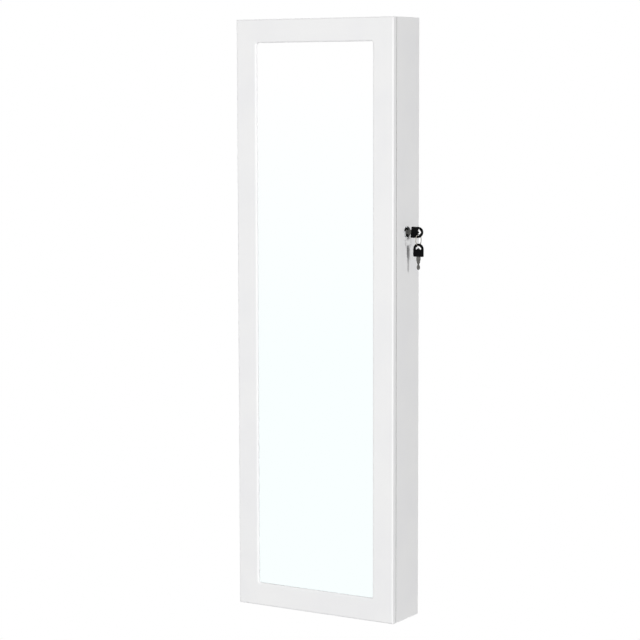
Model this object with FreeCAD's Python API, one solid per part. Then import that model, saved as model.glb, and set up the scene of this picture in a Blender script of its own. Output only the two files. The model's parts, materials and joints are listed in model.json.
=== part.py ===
"""Wall-hung jewelry cabinet behind a full-length mirror door.

Frame: millimetres, +X to the right seen from the front, +Y to the wall, +Z up.
The origin is the middle of the case's underside. At rest the door is closed, the key is in the lock in the
right side panel, turned a little from its unlocked stop, and the spare key hangs from it on a ring.
"""

import FreeCAD
import Part
import math
import os

V = FreeCAD.Vector
X_AXIS = V(1, 0, 0)
Y_AXIS = V(0, 1, 0)
Z_AXIS = V(0, 0, 1)

# distance under which two planes count as the same one
touching = 0.01

# ---------------------------------------------------------------- driving sizes: case
cabinet_width = 365.0
cabinet_height = 1200.0
case_depth = 90.0
panel_thickness = 12.0
arris_radius = 0.8
back_thickness = 3.0
back_rebate = 6.0
back_clearance = 0.2
rail_height = 60.0
rail_thickness = 12.0
lining_thickness = 2.0
lining_clearance = 0.3
dowel_radius = 4.0
dowel_length = 30.0
dowel_depth_in_side = 8.0
dowel_spacing = 50.0
dowel_clearance = 0.1
back_screw_column_spacing = 140.0
back_screws_above_shelves = 2
back_screw_head_radius = 2.4
back_screw_radius = 1.4
back_screw_length = 9.0

# screw holes for hanging the case on a wall
wall_hole_radius = 2.75
wall_hole_spacing = 280.0

# ---------------------------------------------------------------- driving sizes: screws
screw_clearance = 0.05
screw_recess_width = 0.9
screw_recess_depth = 0.8
screw_recess_reach = 0.62

# ---------------------------------------------------------------- driving sizes: door
door_thickness = 12.0
door_gap = 2.0
frame_width = 47.0
frame_outer_round = 3.0
frame_inner_round = 3.5
frame_corner_radius = 5.0
frame_lip_thickness = 4.5
rabbet_width = 8.0
glass_thickness = 3.0
glass_clearance = 0.3
backing_thickness = 3.0

# ---------------------------------------------------------------- driving sizes: hinges
hinge_end_distance = 150.0
hinge_length = 50.0
hinge_knuckles = 5
hinge_knuckle_gap = 0.3
hinge_knuckle_radius = 2.5
hinge_pin_radius = 1.0
hinge_running_clearance = 0.05
hinge_pin_offset = 2.7
hinge_leaf_thickness = 0.9
hinge_case_leaf_width = 11.0
hinge_door_leaf_width = 18.0
hinge_leaf_relief = 0.35
hinge_leaf_corner = 2.0
hinge_screw_spacing = 34.0
hinge_screw_radius = 1.4
hinge_screw_head_radius = 2.6
hinge_case_screw_length = 14.0
hinge_door_screw_length = 9.0

# ---------------------------------------------------------------- driving sizes: shelves
shelf_names = ("shelf_lower", "shelf_middle", "shelf_upper")
shelf_tops = (160.0, 310.0, 460.0)
shelf_thickness = 9.0
shelf_front = -12.0
shelf_nose_radius = 3.0
shelf_groove_depth = 4.0
shelf_groove_clearance = 0.1
mat_thickness = 1.5
mat_margin = 1.0
guard_rod_radius = 2.0
guard_rod_height = 22.0
guard_rod_setback = 4.0
guard_rod_hole_depth = 5.0
guard_rod_clearance = 0.1

# ---------------------------------------------------------------- driving sizes: inside fittings
bar_end_gap = 20.5
bar_height = 28.0
bar_thickness = 9.0
bar_edge_round = 1.6
bar_drop = 84.0
door_bar_end_gap = 10.5
door_bar_drop = 108.0
peg_pitch = 28.0
peg_end_margin = 18.0
peg_radius = 1.6
peg_length = 20.0
peg_knob_radius = 3.4
peg_knob_length = 4.0

earring_panel_end_gap = 20.5
earring_panel_height = 140.0
earring_panel_bottom = 726.0
earring_panel_thickness = 3.0
earring_panel_corner = 2.4
earring_panel_standoff = 9.0
earring_standoff_radius = 4.0
earring_standoff_inset = 12.0
earring_hole_radius = 1.2
earring_hole_margin = 14.0
earring_hole_rows = 2
earring_hole_pair = 12.0
earring_column_pitch = 35.0
earring_row_pitch = 60.0

ring_tray_end_gap = 14.5
ring_tray_wall = 6.0
ring_tray_depth = 24.0
ring_tray_bottom = 570.0
ring_tray_base = 3.0
ring_tray_edge_round = 1.6
ring_roll_count = 7
ring_roll_height = 16.6
ring_roll_gap = 0.7
ring_roll_end_gap = 0.4
ring_roll_proud = 3.0
ring_roll_shoulder = 6.0

bracelet_rod_radius = 6.0
bracelet_rod_height_at = 538.0
bracelet_rod_y = 4.0
bracelet_cup_radius = 11.0
bracelet_cup_length = 9.0
bracelet_cup_wall = 2.0
bracelet_cup_rim = 3.6
bracelet_cup_clearance = 0.15

strip_end_gap = 20.5
strip_heights = (800.0, 860.0, 920.0)
strip_height = 12.0
strip_depth = 10.0
strip_foot_height = 5.0
strip_lip_thickness = 3.0
strip_notch_margin = 15.0
strip_notch_width = 2.4
strip_notch_pitch = 18.0
strip_notch_depth = 5.0

rack_end_gap = 10.5
rack_bottom = 210.0
rack_height = 46.0
rack_depth = 24.0
rack_board = 5.0
rack_corner_radius = 9.6
rack_rod_radius = 2.0
rack_rod_height = 32.0
rack_rod_setback = 5.0

# ---------------------------------------------------------------- driving sizes: catch and bumpers
catch_height_at = 430.0
catch_length = 46.0
catch_width = 14.0
catch_depth = 15.0
catch_plate_thickness = 1.2
catch_plate_length = 38.0
catch_plate_width = 12.0
catch_plate_corner = 3.0
catch_edge_round = 1.6
catch_front_inset = 0.8
catch_pole_thickness = 1.6
catch_pole_length = 25.76
catch_pole_insets = (4.9, 10.5)
catch_air_gap = 0.5
catch_screw_spacing = 32.0
catch_screw_setback = 9.3
catch_screw_radius = 1.4
catch_screw_head_radius = 2.6
catch_screw_length = 20.0
catch_plate_screw_length = 8.0
bumper_radius = 4.0
bumper_thickness = 1.7
bumper_side_height = 1.02
bumper_top_radius = 2.4
bumper_inset = 24.0

# ---------------------------------------------------------------- driving sizes: lock
lock_height = 779.0
lock_y = -5.0
rosette_radius = 12.0
rosette_thickness = 2.6
rosette_rim = 0.9
rosette_bevel = 1.8
barrel_radius = 9.5
barrel_flats = 16.4
barrel_length = 22.0
barrel_clearance = 0.2
plug_radius = 6.2
plug_clearance = 0.05
plug_head_radius = 7.4
plug_head_thickness = 1.4
plug_head_bevel = 0.4
plug_recess = 0.4
plug_tail_width = 6.0
plug_tail_clearance = 0.1
nut_across_flats = 24.0
nut_thickness = 4.0
nut_thread_clearance = 0.1
keyway_clearance = 0.15
keyway_depth = 19.0
cam_thickness = 2.4
cam_hub_radius = 8.5
cam_arm_width = 9.0
cam_tip_radius = 38.5
cam_mouth_radius = 32.5
cam_head_inner_radius = 26.5
cam_sector_steps = 4
cam_mouth_angle = 7.0
cam_lead_angle = 7.0
cam_screw_radius = 1.5
cam_screw_head_radius = 4.2
cam_screw_head_height = 2.2
cam_screw_head_bevel = 0.8
cam_screw_length = 6.0
key_turned_at_rest = 12.0

strike_pin_radius = 1.5
strike_mouth_clearance = 0.5
strike_ear_thickness = 1.2
strike_ear_gap = 5.0
strike_ear_width = 8.0
strike_base_length = 32.0
strike_base_width = 14.0
strike_base_thickness = 1.2
strike_base_corner = 3.0
strike_ear_corner = 2.0
strike_ear_margin = 2.6
strike_screw_spacing = 24.0
strike_screw_radius = 1.4
strike_screw_head_radius = 2.6
strike_screw_length = 9.0

# ---------------------------------------------------------------- driving sizes: keys and ring
bow_length = 26.0
bow_width = 22.0
bow_thickness = 5.0
bow_corner_radius = 1.5
bow_edge_round = 1.2
bow_pad_inset = 3.4
bow_pad_length = 9.0
bow_pad_depth = 0.3
bow_hole_apex = 20.2
bow_hole_reach = 4.0
bow_hole_half_width = 4.6
bow_hole_radius = 2.3
bow_hole_bevel = 0.8
blade_thickness = 2.0
blade_width = 7.0
blade_length = 26.0
blade_shoulder_width = 9.0
blade_shoulder_length = 7.5
blade_shoulder_gap = 0.3
blade_tang_length = 8.0
blade_tang_width = 6.0
blade_waist_width = 3.2
blade_waist_at = 15.0
blade_waist_start = 11.0
blade_waist_end = 19.5
blade_nose_width = 6.3
ring_radius = 11.0
ring_wire_radius = 0.7
ring_wire_sides = 8
ring_at_bow = 17.0
ring_rim_centre = 8.75
ring_rim_clearance = 0.33
ring_seat_clearance = 0.2

# ---------------------------------------------------------------- planes that several pieces share
half_width = cabinet_width / 2
inner_x = half_width - panel_thickness
case_front = -case_depth / 2
case_back = case_depth / 2
back_face = case_back - back_thickness
lining_face = back_face - lining_thickness
ceiling = cabinet_height - panel_thickness
floor = panel_thickness
hinge_heights = (hinge_end_distance, cabinet_height / 2, cabinet_height - hinge_end_distance)
door_back = case_front - door_gap
door_front = door_back - door_thickness
glass_front = door_front + frame_lip_thickness
glass_back = glass_front + glass_thickness
backing_back = glass_back + backing_thickness
opening_x = half_width - frame_width
opening_bottom = frame_width
opening_top = cabinet_height - frame_width
bar_half = inner_x - bar_end_gap
door_bar_half = opening_x - door_bar_end_gap
earring_panel_half = inner_x - earring_panel_end_gap
ring_tray_half = inner_x - ring_tray_end_gap
hinge_x = -half_width - hinge_pin_offset
hinge_y = (case_front + door_back) / 2
plug_face = half_width + rosette_thickness - plug_recess
barrel_end = half_width - barrel_length
bow_base_x = half_width + rosette_thickness + blade_shoulder_gap + blade_shoulder_length
lock_centre = V(0, lock_y, lock_height)


# ---------------------------------------------------------------- small makers
def block(x0, x1, y0, y1, z0, z1):
    """A box between two corners."""
    return Part.makeBox(x1 - x0, y1 - y0, z1 - z0, V(x0, y0, z0))


def rod(radius, start, along, length):
    """A cylinder from a start point."""
    return Part.makeCylinder(radius, length, start, along)


def joined(first, *others):
    """One solid from pieces that touch or overlap."""
    return first.fuse(list(others)).removeSplitter().Solids[0]


def rounded(solid, radius, wanted):
    """The solid with a fillet on each straight or curved edge that wanted accepts."""
    return solid.makeFillet(radius, [e for e in solid.Edges if wanted(e)])


def bevelled(solid, size, wanted):
    """The solid with a chamfer on each edge that wanted accepts."""
    return solid.makeChamfer(size, [e for e in solid.Edges if wanted(e)])


def runs_along(edge, axis):
    """True for a straight edge parallel to an axis."""
    if not isinstance(edge.Curve, Part.Line):
        return False
    return abs(edge.tangentAt(edge.FirstParameter).dot(axis)) > 1 - touching


def revolved(profile, centre, along):
    """A turned piece from (distance along, radius) points; its ends close on the axis."""
    ends = [(profile[0][0], 0.0)] + list(profile) + [(profile[-1][0], 0.0)]
    points = [V(radius, 0, distance) for distance, radius in ends]
    turned = Part.Face(Part.makePolygon(points + points[:1])).revolve(V(0, 0, 0), Z_AXIS, 360)
    turned.Placement = FreeCAD.Placement(centre, FreeCAD.Rotation(Z_AXIS, along))
    return turned


def turned_with_key(shape, angle=key_turned_at_rest):
    """The shape turned clockwise about the lock's axis, seen from outside the right side panel."""
    turned = shape.copy()
    turned.rotate(lock_centre, V(-1, 0, 0), angle)
    return turned


def countersunk(head, along, head_radius, shank_radius, length):
    """A countersunk wood screw whose head lies flush at the point head, with a cross recess."""
    taper = head_radius - shank_radius
    screw = revolved([(0, head_radius), (taper, shank_radius), (length, shank_radius)], head, along)
    return cross_recessed(screw, head, along, head_radius)


def cross_recessed(screw, head, along, head_radius):
    """Cuts the driver's cross into a screw head."""
    arm = head_radius * screw_recess_reach
    half = screw_recess_width / 2
    turn = FreeCAD.Placement(head, FreeCAD.Rotation(Z_AXIS, along))
    for x_half, y_half in ((arm, half), (half, arm)):
        slot = block(-x_half, x_half, -y_half, y_half, -screw_recess_depth, screw_recess_depth)
        slot.Placement = turn
        screw = screw.cut(slot)
    return screw.Solids[0]


def screw_seat(head, along, head_radius, shank_radius, length):
    """What a countersunk screw needs cut away, with a little clearance all round."""
    wide = head_radius + screw_clearance
    narrow = shank_radius + screw_clearance
    points = [(-screw_clearance, wide), (wide - narrow, narrow), (length + screw_clearance, narrow)]
    return revolved(points, head, along)


def save(name, shapes):
    """Writes one sub-part: a single solid, or a group of separate solids."""
    solids = [s for shape in shapes for s in shape.Solids]
    shape = solids[0] if len(solids) == 1 else Part.makeCompound(solids)
    for solid in solids:
        if not solid.isValid() or solid.Volume <= 0:
            raise ValueError("bad solid in " + name)
    shape.exportStep(os.path.join("parts", name + ".step"))


# ---------------------------------------------------------------- fastener places
def hinge_screw_heads():
    """Each hinge screw as (point, direction, length), for the case leaves and for the door leaves."""
    case_x = -half_width + hinge_case_leaf_width / 2
    door_x = -half_width + hinge_door_leaf_width / 2
    heights = [h + s * hinge_screw_spacing / 2 for h in hinge_heights for s in (-1, 1)]
    case_y = case_front - hinge_leaf_thickness
    door_y = door_back + hinge_leaf_thickness
    on_case = [(V(case_x, case_y, z), Y_AXIS, hinge_case_screw_length) for z in heights]
    on_door = [(V(door_x, door_y, z), -Y_AXIS, hinge_door_screw_length) for z in heights]
    return on_case, on_door


def hinge_screws(places):
    return [countersunk(p, d, hinge_screw_head_radius, hinge_screw_radius, n) for p, d, n in places]


def hinge_screw_seats(places):
    return [screw_seat(p, d, hinge_screw_head_radius, hinge_screw_radius, n) for p, d, n in places]


def dowel_places():
    """The ends of the dowels that lie in the side panels."""
    heights = (floor - panel_thickness / 2, ceiling + panel_thickness / 2)
    return [
        (V(side * (inner_x + dowel_depth_in_side), y, z), V(-side, 0, 0))
        for side in (-1, 1)
        for z in heights
        for y in (-dowel_spacing / 2, dowel_spacing / 2)
    ]


def dowels():
    return [rod(dowel_radius, point, along, dowel_length) for point, along in dowel_places()]


def dowel_holes():
    radius = dowel_radius + dowel_clearance
    length = dowel_length + 2 * dowel_clearance
    return [rod(radius, point - along * dowel_clearance, along, length) for point, along in dowel_places()]


def back_screw_heights():
    """Between the shelves, then evenly up the open part above them."""
    between = [(a + b - shelf_thickness) / 2 for a, b in zip(shelf_tops, shelf_tops[1:])]
    step = (ceiling - shelf_tops[-1]) / (back_screws_above_shelves + 1)
    return between + [shelf_tops[-1] + step * (i + 1) for i in range(back_screws_above_shelves)]


def back_screw_places():
    """Heads all round the back panel, over the rebates in the sides, the top and the bottom."""
    edge_x = inner_x + back_rebate / 2
    ends = (floor - back_rebate / 2, ceiling + back_rebate / 2)
    places = [(side * edge_x, z) for side in (-1, 1) for z in back_screw_heights()]
    places += [(column * back_screw_column_spacing, z) for column in (-1, 0, 1) for z in ends]
    return [V(x, case_back, z) for x, z in places]


def back_screws():
    return [countersunk(place, -Y_AXIS, back_screw_head_radius, back_screw_radius, back_screw_length)
            for place in back_screw_places()]


def back_screw_seats():
    return [screw_seat(place, -Y_AXIS, back_screw_head_radius, back_screw_radius, back_screw_length)
            for place in back_screw_places()]


# ---------------------------------------------------------------- case panels
def back_pocket():
    """The rebate that the back panel drops into, cut from the panels around it."""
    x = inner_x + back_rebate
    low = floor - back_rebate
    high = ceiling + back_rebate
    return block(-x, x, back_face, case_back, low, high)


def wall_holes():
    """Clearance holes for the wall screws, through the rails and the back panel."""
    return [
        rod(wall_hole_radius, V(x, 0, z), Y_AXIS, case_depth)
        for x in (-wall_hole_spacing / 2, wall_hole_spacing / 2)
        for z in (floor + rail_height / 2, ceiling - rail_height / 2)
    ]


def shelf_groove(side, top):
    """The housing groove in a side panel that one shelf's end slides into."""
    c = shelf_groove_clearance
    deep = side * (inner_x + shelf_groove_depth)
    x0, x1 = sorted((side * inner_x, deep))
    return block(x0, x1, shelf_front - c, lining_face, top - shelf_thickness - c, top + c)


def guard_rod_line(top):
    """Height and depth of the rod in front of a shelf."""
    return shelf_front + guard_rod_setback, top + guard_rod_height


def guard_rod_holes(side):
    radius = guard_rod_radius + guard_rod_clearance
    holes = []
    for top in shelf_tops:
        y, z = guard_rod_line(top)
        start = V(side * (inner_x + guard_rod_hole_depth), y, z)
        holes.append(rod(radius, start, V(-side, 0, 0), guard_rod_hole_depth))
    return holes


def side_panel(side):
    """A side panel with its outer arrises eased, its rebate, grooves, rod holes and dowel holes."""
    x0, x1 = sorted((side * inner_x, side * half_width))
    panel = block(x0, x1, case_front, case_back, 0, cabinet_height)
    outer = side * half_width

    def on_outer_face(edge):
        return all(abs(v.X - outer) < touching for v in edge.Vertexes)

    panel = rounded(panel, arris_radius, on_outer_face)
    cuts = [back_pocket()] + dowel_holes() + back_screw_seats() + guard_rod_holes(side)
    cuts += [shelf_groove(side, top) for top in shelf_tops]
    if side < 0:
        cuts += hinge_screw_seats(hinge_screw_heads()[0])
    else:
        cuts += [lock_barrel(barrel_clearance)] + catch_screw_seats()
    return panel.cut(cuts)


def end_panel(z0, z1):
    """The top or the bottom, held between the sides on dowels."""
    panel = block(-inner_x, inner_x, case_front, case_back, z0, z1)
    return panel.cut([back_pocket()] + dowel_holes() + back_screw_seats())


def back_panel():
    x = inner_x + back_rebate - back_clearance
    low = floor - back_rebate + back_clearance
    high = ceiling + back_rebate - back_clearance
    return block(-x, x, back_face, case_back, low, high).cut(wall_holes() + back_screw_seats())


def hanging_rail(z0, z1):
    """A rail inside the case, against the back, that the wall screws pass through."""
    rail = block(-inner_x, inner_x, back_face - rail_thickness, back_face, z0, z1)
    front = back_face - rail_thickness
    rail = rounded(rail, arris_radius, lambda e: all(abs(v.Y - front) < touching for v in e.Vertexes)
                   and runs_along(e, X_AXIS))
    return rail.cut(wall_holes())


def back_lining():
    """The cloth-covered board between the two rails."""
    x = inner_x - lining_clearance
    low = floor + rail_height + lining_clearance
    high = ceiling - rail_height - lining_clearance
    return block(-x, x, lining_face, back_face, low, high)


# ---------------------------------------------------------------- shelves
def shelf(top):
    """A shelf with a rounded nose, its ends in the side panels' grooves."""
    x = inner_x + shelf_groove_depth - shelf_groove_clearance
    board = block(-x, x, shelf_front, lining_face, top - shelf_thickness, top)
    return rounded(board, shelf_nose_radius, lambda e: runs_along(e, X_AXIS)
                   and all(abs(v.Y - shelf_front) < touching for v in e.Vertexes))


def shelf_mat(top):
    x = inner_x - mat_margin
    front = shelf_front + guard_rod_setback + guard_rod_radius + mat_margin
    return block(-x, x, front, lining_face, top, top + mat_thickness)


def guard_rod(top):
    y, z = guard_rod_line(top)
    x = inner_x + guard_rod_hole_depth - guard_rod_clearance
    return rod(guard_rod_radius, V(-x, y, z), X_AXIS, 2 * x)


# ---------------------------------------------------------------- pegs and bars
def how_many(length, margin, pitch):
    """How many things at a pitch fit in a length, with a margin kept at both ends."""
    return int((length - 2 * margin) / pitch) + 1


def peg_bar(half, height_at, face, outward):
    """A bar with its front edges eased; outward is +1 when the bar faces the wall."""
    y0, y1 = sorted((face, face + outward * bar_thickness))
    bar = block(-half, half, y0, y1, height_at - bar_height / 2, height_at + bar_height / 2)
    front = face + outward * bar_thickness
    return rounded(bar, bar_edge_round, lambda e: all(abs(v.Y - front) < touching for v in e.Vertexes))


def peg(x, y, z, outward):
    """A turned peg: a slim shank and a bevelled knob that keeps the chain on."""
    neck = peg_length - peg_knob_length
    widest = peg_length - peg_knob_length / 2
    points = [
        (0, peg_radius),
        (neck, peg_radius),
        (widest, peg_knob_radius),
        (peg_length, peg_radius),
    ]
    return revolved(points, V(x, y, z), V(0, outward, 0))


def peg_row(half, y, z, outward):
    count = how_many(2 * half, peg_end_margin, peg_pitch)
    first = -peg_pitch * (count - 1) / 2
    return [peg(first + peg_pitch * i, y, z, outward) for i in range(count)]


# ---------------------------------------------------------------- earrings, rings and bracelets
def earring_panel():
    """A thin board with rows of paired holes for stud and hook earrings."""
    face = lining_face - earring_panel_standoff
    half = earring_panel_half
    top = earring_panel_bottom + earring_panel_height
    board = block(-half, half, face - earring_panel_thickness, face, earring_panel_bottom, top)
    board = rounded(board, earring_panel_corner, lambda e: runs_along(e, Y_AXIS))
    middle = (earring_panel_bottom + top) / 2
    columns = how_many(2 * half, earring_hole_margin, earring_column_pitch)
    holes = []
    for column in range(columns):
        x = (column - (columns - 1) / 2) * earring_column_pitch
        for row in range(earring_hole_rows):
            z = middle + (row - (earring_hole_rows - 1) / 2) * earring_row_pitch
            for side in (-0.5, 0.5):
                start = V(x + side * earring_hole_pair, face - earring_panel_thickness, z)
                holes.append(rod(earring_hole_radius, start, Y_AXIS, earring_panel_thickness))
    return board.cut(holes)


def earring_standoffs():
    x = earring_panel_half - earring_standoff_inset
    low = earring_panel_bottom + earring_standoff_inset
    high = earring_panel_bottom + earring_panel_height - earring_standoff_inset
    face = lining_face - earring_panel_standoff
    places = [V(side * x, face, z) for side in (-1, 1) for z in (low, high)]
    return [rod(earring_standoff_radius, place, Y_AXIS, earring_panel_standoff) for place in places]


def ring_stack_height():
    return ring_roll_count * (ring_roll_height + ring_roll_gap) + ring_roll_gap


def ring_tray():
    """A shallow open tray on the back lining that holds the padded ring rolls."""
    half = ring_tray_half
    front = lining_face - ring_tray_depth
    low = ring_tray_bottom
    high = low + ring_stack_height() + 2 * ring_tray_wall
    tray = block(-half, half, front, lining_face, low, high)
    tray = rounded(tray, ring_tray_edge_round,
                   lambda e: all(abs(v.Y - front) < touching for v in e.Vertexes))
    inner = block(-half + ring_tray_wall, half - ring_tray_wall, front, lining_face - ring_tray_base,
                  low + ring_tray_wall, high - ring_tray_wall)
    return tray.cut(inner)


def ring_rolls():
    """Padded rolls with a rounded front; a ring is pushed into the slot between two of them."""
    half = ring_tray_half - ring_tray_wall - ring_roll_end_gap
    back = lining_face - ring_tray_base - ring_roll_end_gap
    front = lining_face - ring_tray_depth - ring_roll_proud
    rolls = []
    for i in range(ring_roll_count):
        low = ring_tray_bottom + ring_tray_wall + ring_roll_gap + i * (ring_roll_height + ring_roll_gap)
        high = low + ring_roll_height
        bend = front + ring_roll_shoulder
        arc = Part.Arc(V(-half, bend, low), V(-half, front, (low + high) / 2), V(-half, bend, high))
        wire = Part.Wire([
            Part.LineSegment(V(-half, back, low), V(-half, bend, low)).toShape(),
            arc.toShape(),
            Part.LineSegment(V(-half, bend, high), V(-half, back, high)).toShape(),
            Part.LineSegment(V(-half, back, high), V(-half, back, low)).toShape(),
        ])
        rolls.append(Part.Face(wire).extrude(V(2 * half, 0, 0)))
    return rolls


def bracelet_rod():
    x = inner_x - bracelet_cup_wall - bracelet_cup_clearance
    return rod(bracelet_rod_radius, V(-x, bracelet_rod_y, bracelet_rod_height_at), X_AXIS, 2 * x)


def bracelet_cup(side):
    """A round cup on the side panel that the rod's end sits in."""
    points = [
        (0, bracelet_cup_radius),
        (bracelet_cup_rim, bracelet_cup_radius),
        (bracelet_cup_length, bracelet_cup_radius - bracelet_cup_wall),
    ]
    centre = V(side * inner_x, bracelet_rod_y, bracelet_rod_height_at)
    cup = revolved(points, centre, V(-side, 0, 0))
    hole_start = V(side * (inner_x - bracelet_cup_wall), bracelet_rod_y, bracelet_rod_height_at)
    return cup.cut(rod(bracelet_rod_radius + bracelet_cup_clearance, hole_start, V(-side, 0, 0),
                       bracelet_cup_length))


def earring_strip(z):
    """A grooved strip on the door: hook earrings hang from the notches in its lip."""
    half = opening_x - strip_end_gap
    foot = block(-half, half, door_back, door_back + strip_depth, z, z + strip_foot_height)
    lip_back = door_back + strip_depth
    lip = block(-half, half, lip_back - strip_lip_thickness, lip_back, z, z + strip_height)
    strip = joined(foot, lip)
    strip = bevelled(strip, arris_radius, lambda e: runs_along(e, X_AXIS)
                     and all(abs(v.Z - z - strip_height) < touching for v in e.Vertexes))
    count = how_many(2 * half, strip_notch_margin, strip_notch_pitch)
    notches = []
    for i in range(count):
        x = (i - (count - 1) / 2) * strip_notch_pitch
        notches.append(block(x - strip_notch_width / 2, x + strip_notch_width / 2,
                             lip_back - strip_lip_thickness, lip_back,
                             z + strip_height - strip_notch_depth, z + strip_height))
    return strip.cut(notches)


def door_rack():
    """A narrow rack on the door: a board and two cheeks; the rod in front keeps bottles in."""
    half = opening_x - rack_end_gap
    front = door_back + rack_depth
    base = block(-half, half, door_back, front, rack_bottom, rack_bottom + rack_board)
    cheeks = [
        block(*sorted((side * half, side * (half - rack_board))), door_back, front,
              rack_bottom, rack_bottom + rack_height)
        for side in (-1, 1)
    ]
    rack = joined(base, *cheeks)
    rack = rounded(rack, rack_corner_radius, lambda e: runs_along(e, X_AXIS)
                   and all(v.Z > rack_bottom + rack_height - touching and v.Y > front - touching
                           for v in e.Vertexes))
    hole = rod(rack_rod_radius + guard_rod_clearance, rack_rod_start() - X_AXIS * guard_rod_clearance,
               X_AXIS, rack_rod_length() + 2 * guard_rod_clearance)
    return rack.cut(hole)


def rack_rod_length():
    return 2 * (opening_x - rack_end_gap) - rack_board


def rack_rod_start():
    y = door_back + rack_depth - rack_rod_setback
    return V(-rack_rod_length() / 2, y, rack_bottom + rack_rod_height)


# ---------------------------------------------------------------- magnetic catch and bumpers
def catch_screw_places():
    """Heads of the two screws that hold the catch, driven sideways into the side panel."""
    y = case_front + catch_screw_setback
    heights = [catch_height_at + s * catch_screw_spacing / 2 for s in (-1, 1)]
    return [V(inner_x - catch_width, y, z) for z in heights]


def catch_screw_seats():
    return [screw_seat(p, X_AXIS, catch_screw_head_radius, catch_screw_radius, catch_screw_length)
            for p in catch_screw_places()]


def magnet_catch():
    """The catch's body on the right side panel, with its two pole plates standing at the front."""
    front = door_back + catch_plate_thickness + catch_air_gap
    half = catch_length / 2
    body = block(inner_x - catch_width, inner_x, front + catch_front_inset, front + catch_depth,
                 catch_height_at - half, catch_height_at + half)
    body = rounded(body, catch_edge_round, lambda e: runs_along(e, X_AXIS))
    pole_half = catch_pole_length / 2
    poles = [
        block(inner_x - inset, inner_x - inset + catch_pole_thickness,
              front, front + catch_pole_thickness,
              catch_height_at - pole_half, catch_height_at + pole_half)
        for inset in catch_pole_insets
    ]
    return joined(body, *poles).cut(catch_screw_seats())


def catch_plate_screw_place():
    return V(inner_x - catch_width / 2, door_back + catch_plate_thickness, catch_height_at)


def catch_plate():
    """The steel plate on the door that the magnet pulls on."""
    x = inner_x - catch_width / 2
    plate = block(x - catch_plate_width / 2, x + catch_plate_width / 2, door_back,
                  door_back + catch_plate_thickness,
                  catch_height_at - catch_plate_length / 2, catch_height_at + catch_plate_length / 2)
    plate = rounded(plate, catch_plate_corner, lambda e: runs_along(e, Y_AXIS))
    return plate.cut(catch_plate_seat())


def catch_plate_seat():
    return screw_seat(catch_plate_screw_place(), -Y_AXIS, catch_screw_head_radius, catch_screw_radius,
                      catch_plate_screw_length)


def bumpers():
    """Two soft buttons on the edge of the right side panel that the door closes on."""
    x = half_width - panel_thickness / 2
    points = [(0, bumper_radius), (bumper_side_height, bumper_radius), (bumper_thickness, bumper_top_radius)]
    return [revolved(points, V(x, case_front, z), -Y_AXIS)
            for z in (bumper_inset, cabinet_height - bumper_inset)]


# ---------------------------------------------------------------- door
def door_frame():
    """One routed frame: rounded outside, rounded inside, and rabbeted behind for the glass."""
    frame = block(-half_width, half_width, door_front, door_back, 0, cabinet_height)
    opening = block(-opening_x, opening_x, door_front, door_back, opening_bottom, opening_top)
    opening = rounded(opening, frame_corner_radius, lambda e: runs_along(e, Y_AXIS))
    frame = frame.cut(opening)

    def on_front(edge):
        return all(abs(v.Y - door_front) < touching for v in edge.Vertexes)

    def is_outer(edge):
        box = edge.BoundBox
        at_side = box.XMin < -half_width + touching or box.XMax > half_width - touching
        at_end = box.ZMin < touching or box.ZMax > cabinet_height - touching
        return at_side or at_end

    frame = rounded(frame, frame_inner_round, lambda e: on_front(e) and not is_outer(e))
    frame = rounded(frame, frame_outer_round, lambda e: on_front(e) and is_outer(e))
    x = opening_x + rabbet_width
    rabbet = block(-x, x, glass_front, door_back, opening_bottom - rabbet_width, opening_top + rabbet_width)
    cuts = [rabbet, catch_plate_seat()] + hinge_screw_seats(hinge_screw_heads()[1]) + strike_screw_seats()
    return frame.cut(cuts)


def rabbet_sheet(y0, y1):
    """A sheet that fills the frame's rabbet between two depths."""
    x = opening_x + rabbet_width - glass_clearance
    low = opening_bottom - rabbet_width + glass_clearance
    high = opening_top + rabbet_width - glass_clearance
    return block(-x, x, y0, y1, low, high)


# ---------------------------------------------------------------- hinges
def knuckle_spans(height):
    """(z0, z1) of each knuckle of one hinge, from the bottom up."""
    pitch = hinge_length / hinge_knuckles
    low = height - hinge_length / 2
    half_gap = hinge_knuckle_gap / 2
    return [(low + i * pitch + half_gap, low + (i + 1) * pitch - half_gap) for i in range(hinge_knuckles)]


def hinge_leaf(height, y0, y1, width, own, bore_radius):
    """A leaf with the knuckles numbered in own; it is cut back beside the other leaf's knuckles."""
    low = height - hinge_length / 2
    high = height + hinge_length / 2
    clear = hinge_knuckle_radius + hinge_leaf_relief
    leaf = block(hinge_x + clear, -half_width + width, y0, y1, low, high)
    leaf = rounded(leaf, hinge_leaf_corner, lambda e: runs_along(e, Y_AXIS)
                   and e.BoundBox.XMax > -half_width + width - touching)
    pieces = []
    for i, (z0, z1) in enumerate(knuckle_spans(height)):
        if i in own:
            pieces.append(rod(hinge_knuckle_radius, V(hinge_x, hinge_y, z0), Z_AXIS, z1 - z0))
            pieces.append(block(hinge_x, hinge_x + clear, y0, y1, z0, z1))
    leaf = joined(leaf, *pieces)
    return leaf.cut(rod(bore_radius, V(hinge_x, hinge_y, low), Z_AXIS, hinge_length))


def case_leaves():
    own = range(0, hinge_knuckles, 2)
    seats = hinge_screw_seats(hinge_screw_heads()[0])
    y1 = case_front
    y0 = y1 - hinge_leaf_thickness
    return [hinge_leaf(h, y0, y1, hinge_case_leaf_width, own, hinge_pin_radius).cut(seats)
            for h in hinge_heights]


def door_leaves():
    own = range(1, hinge_knuckles, 2)
    seats = hinge_screw_seats(hinge_screw_heads()[1])
    bore = hinge_pin_radius + hinge_running_clearance
    y0 = door_back
    return [hinge_leaf(h, y0, y0 + hinge_leaf_thickness, hinge_door_leaf_width, own, bore).cut(seats)
            for h in hinge_heights]


def hinge_pins():
    return [rod(hinge_pin_radius, V(hinge_x, hinge_y, h - hinge_length / 2), Z_AXIS, hinge_length)
            for h in hinge_heights]


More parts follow.
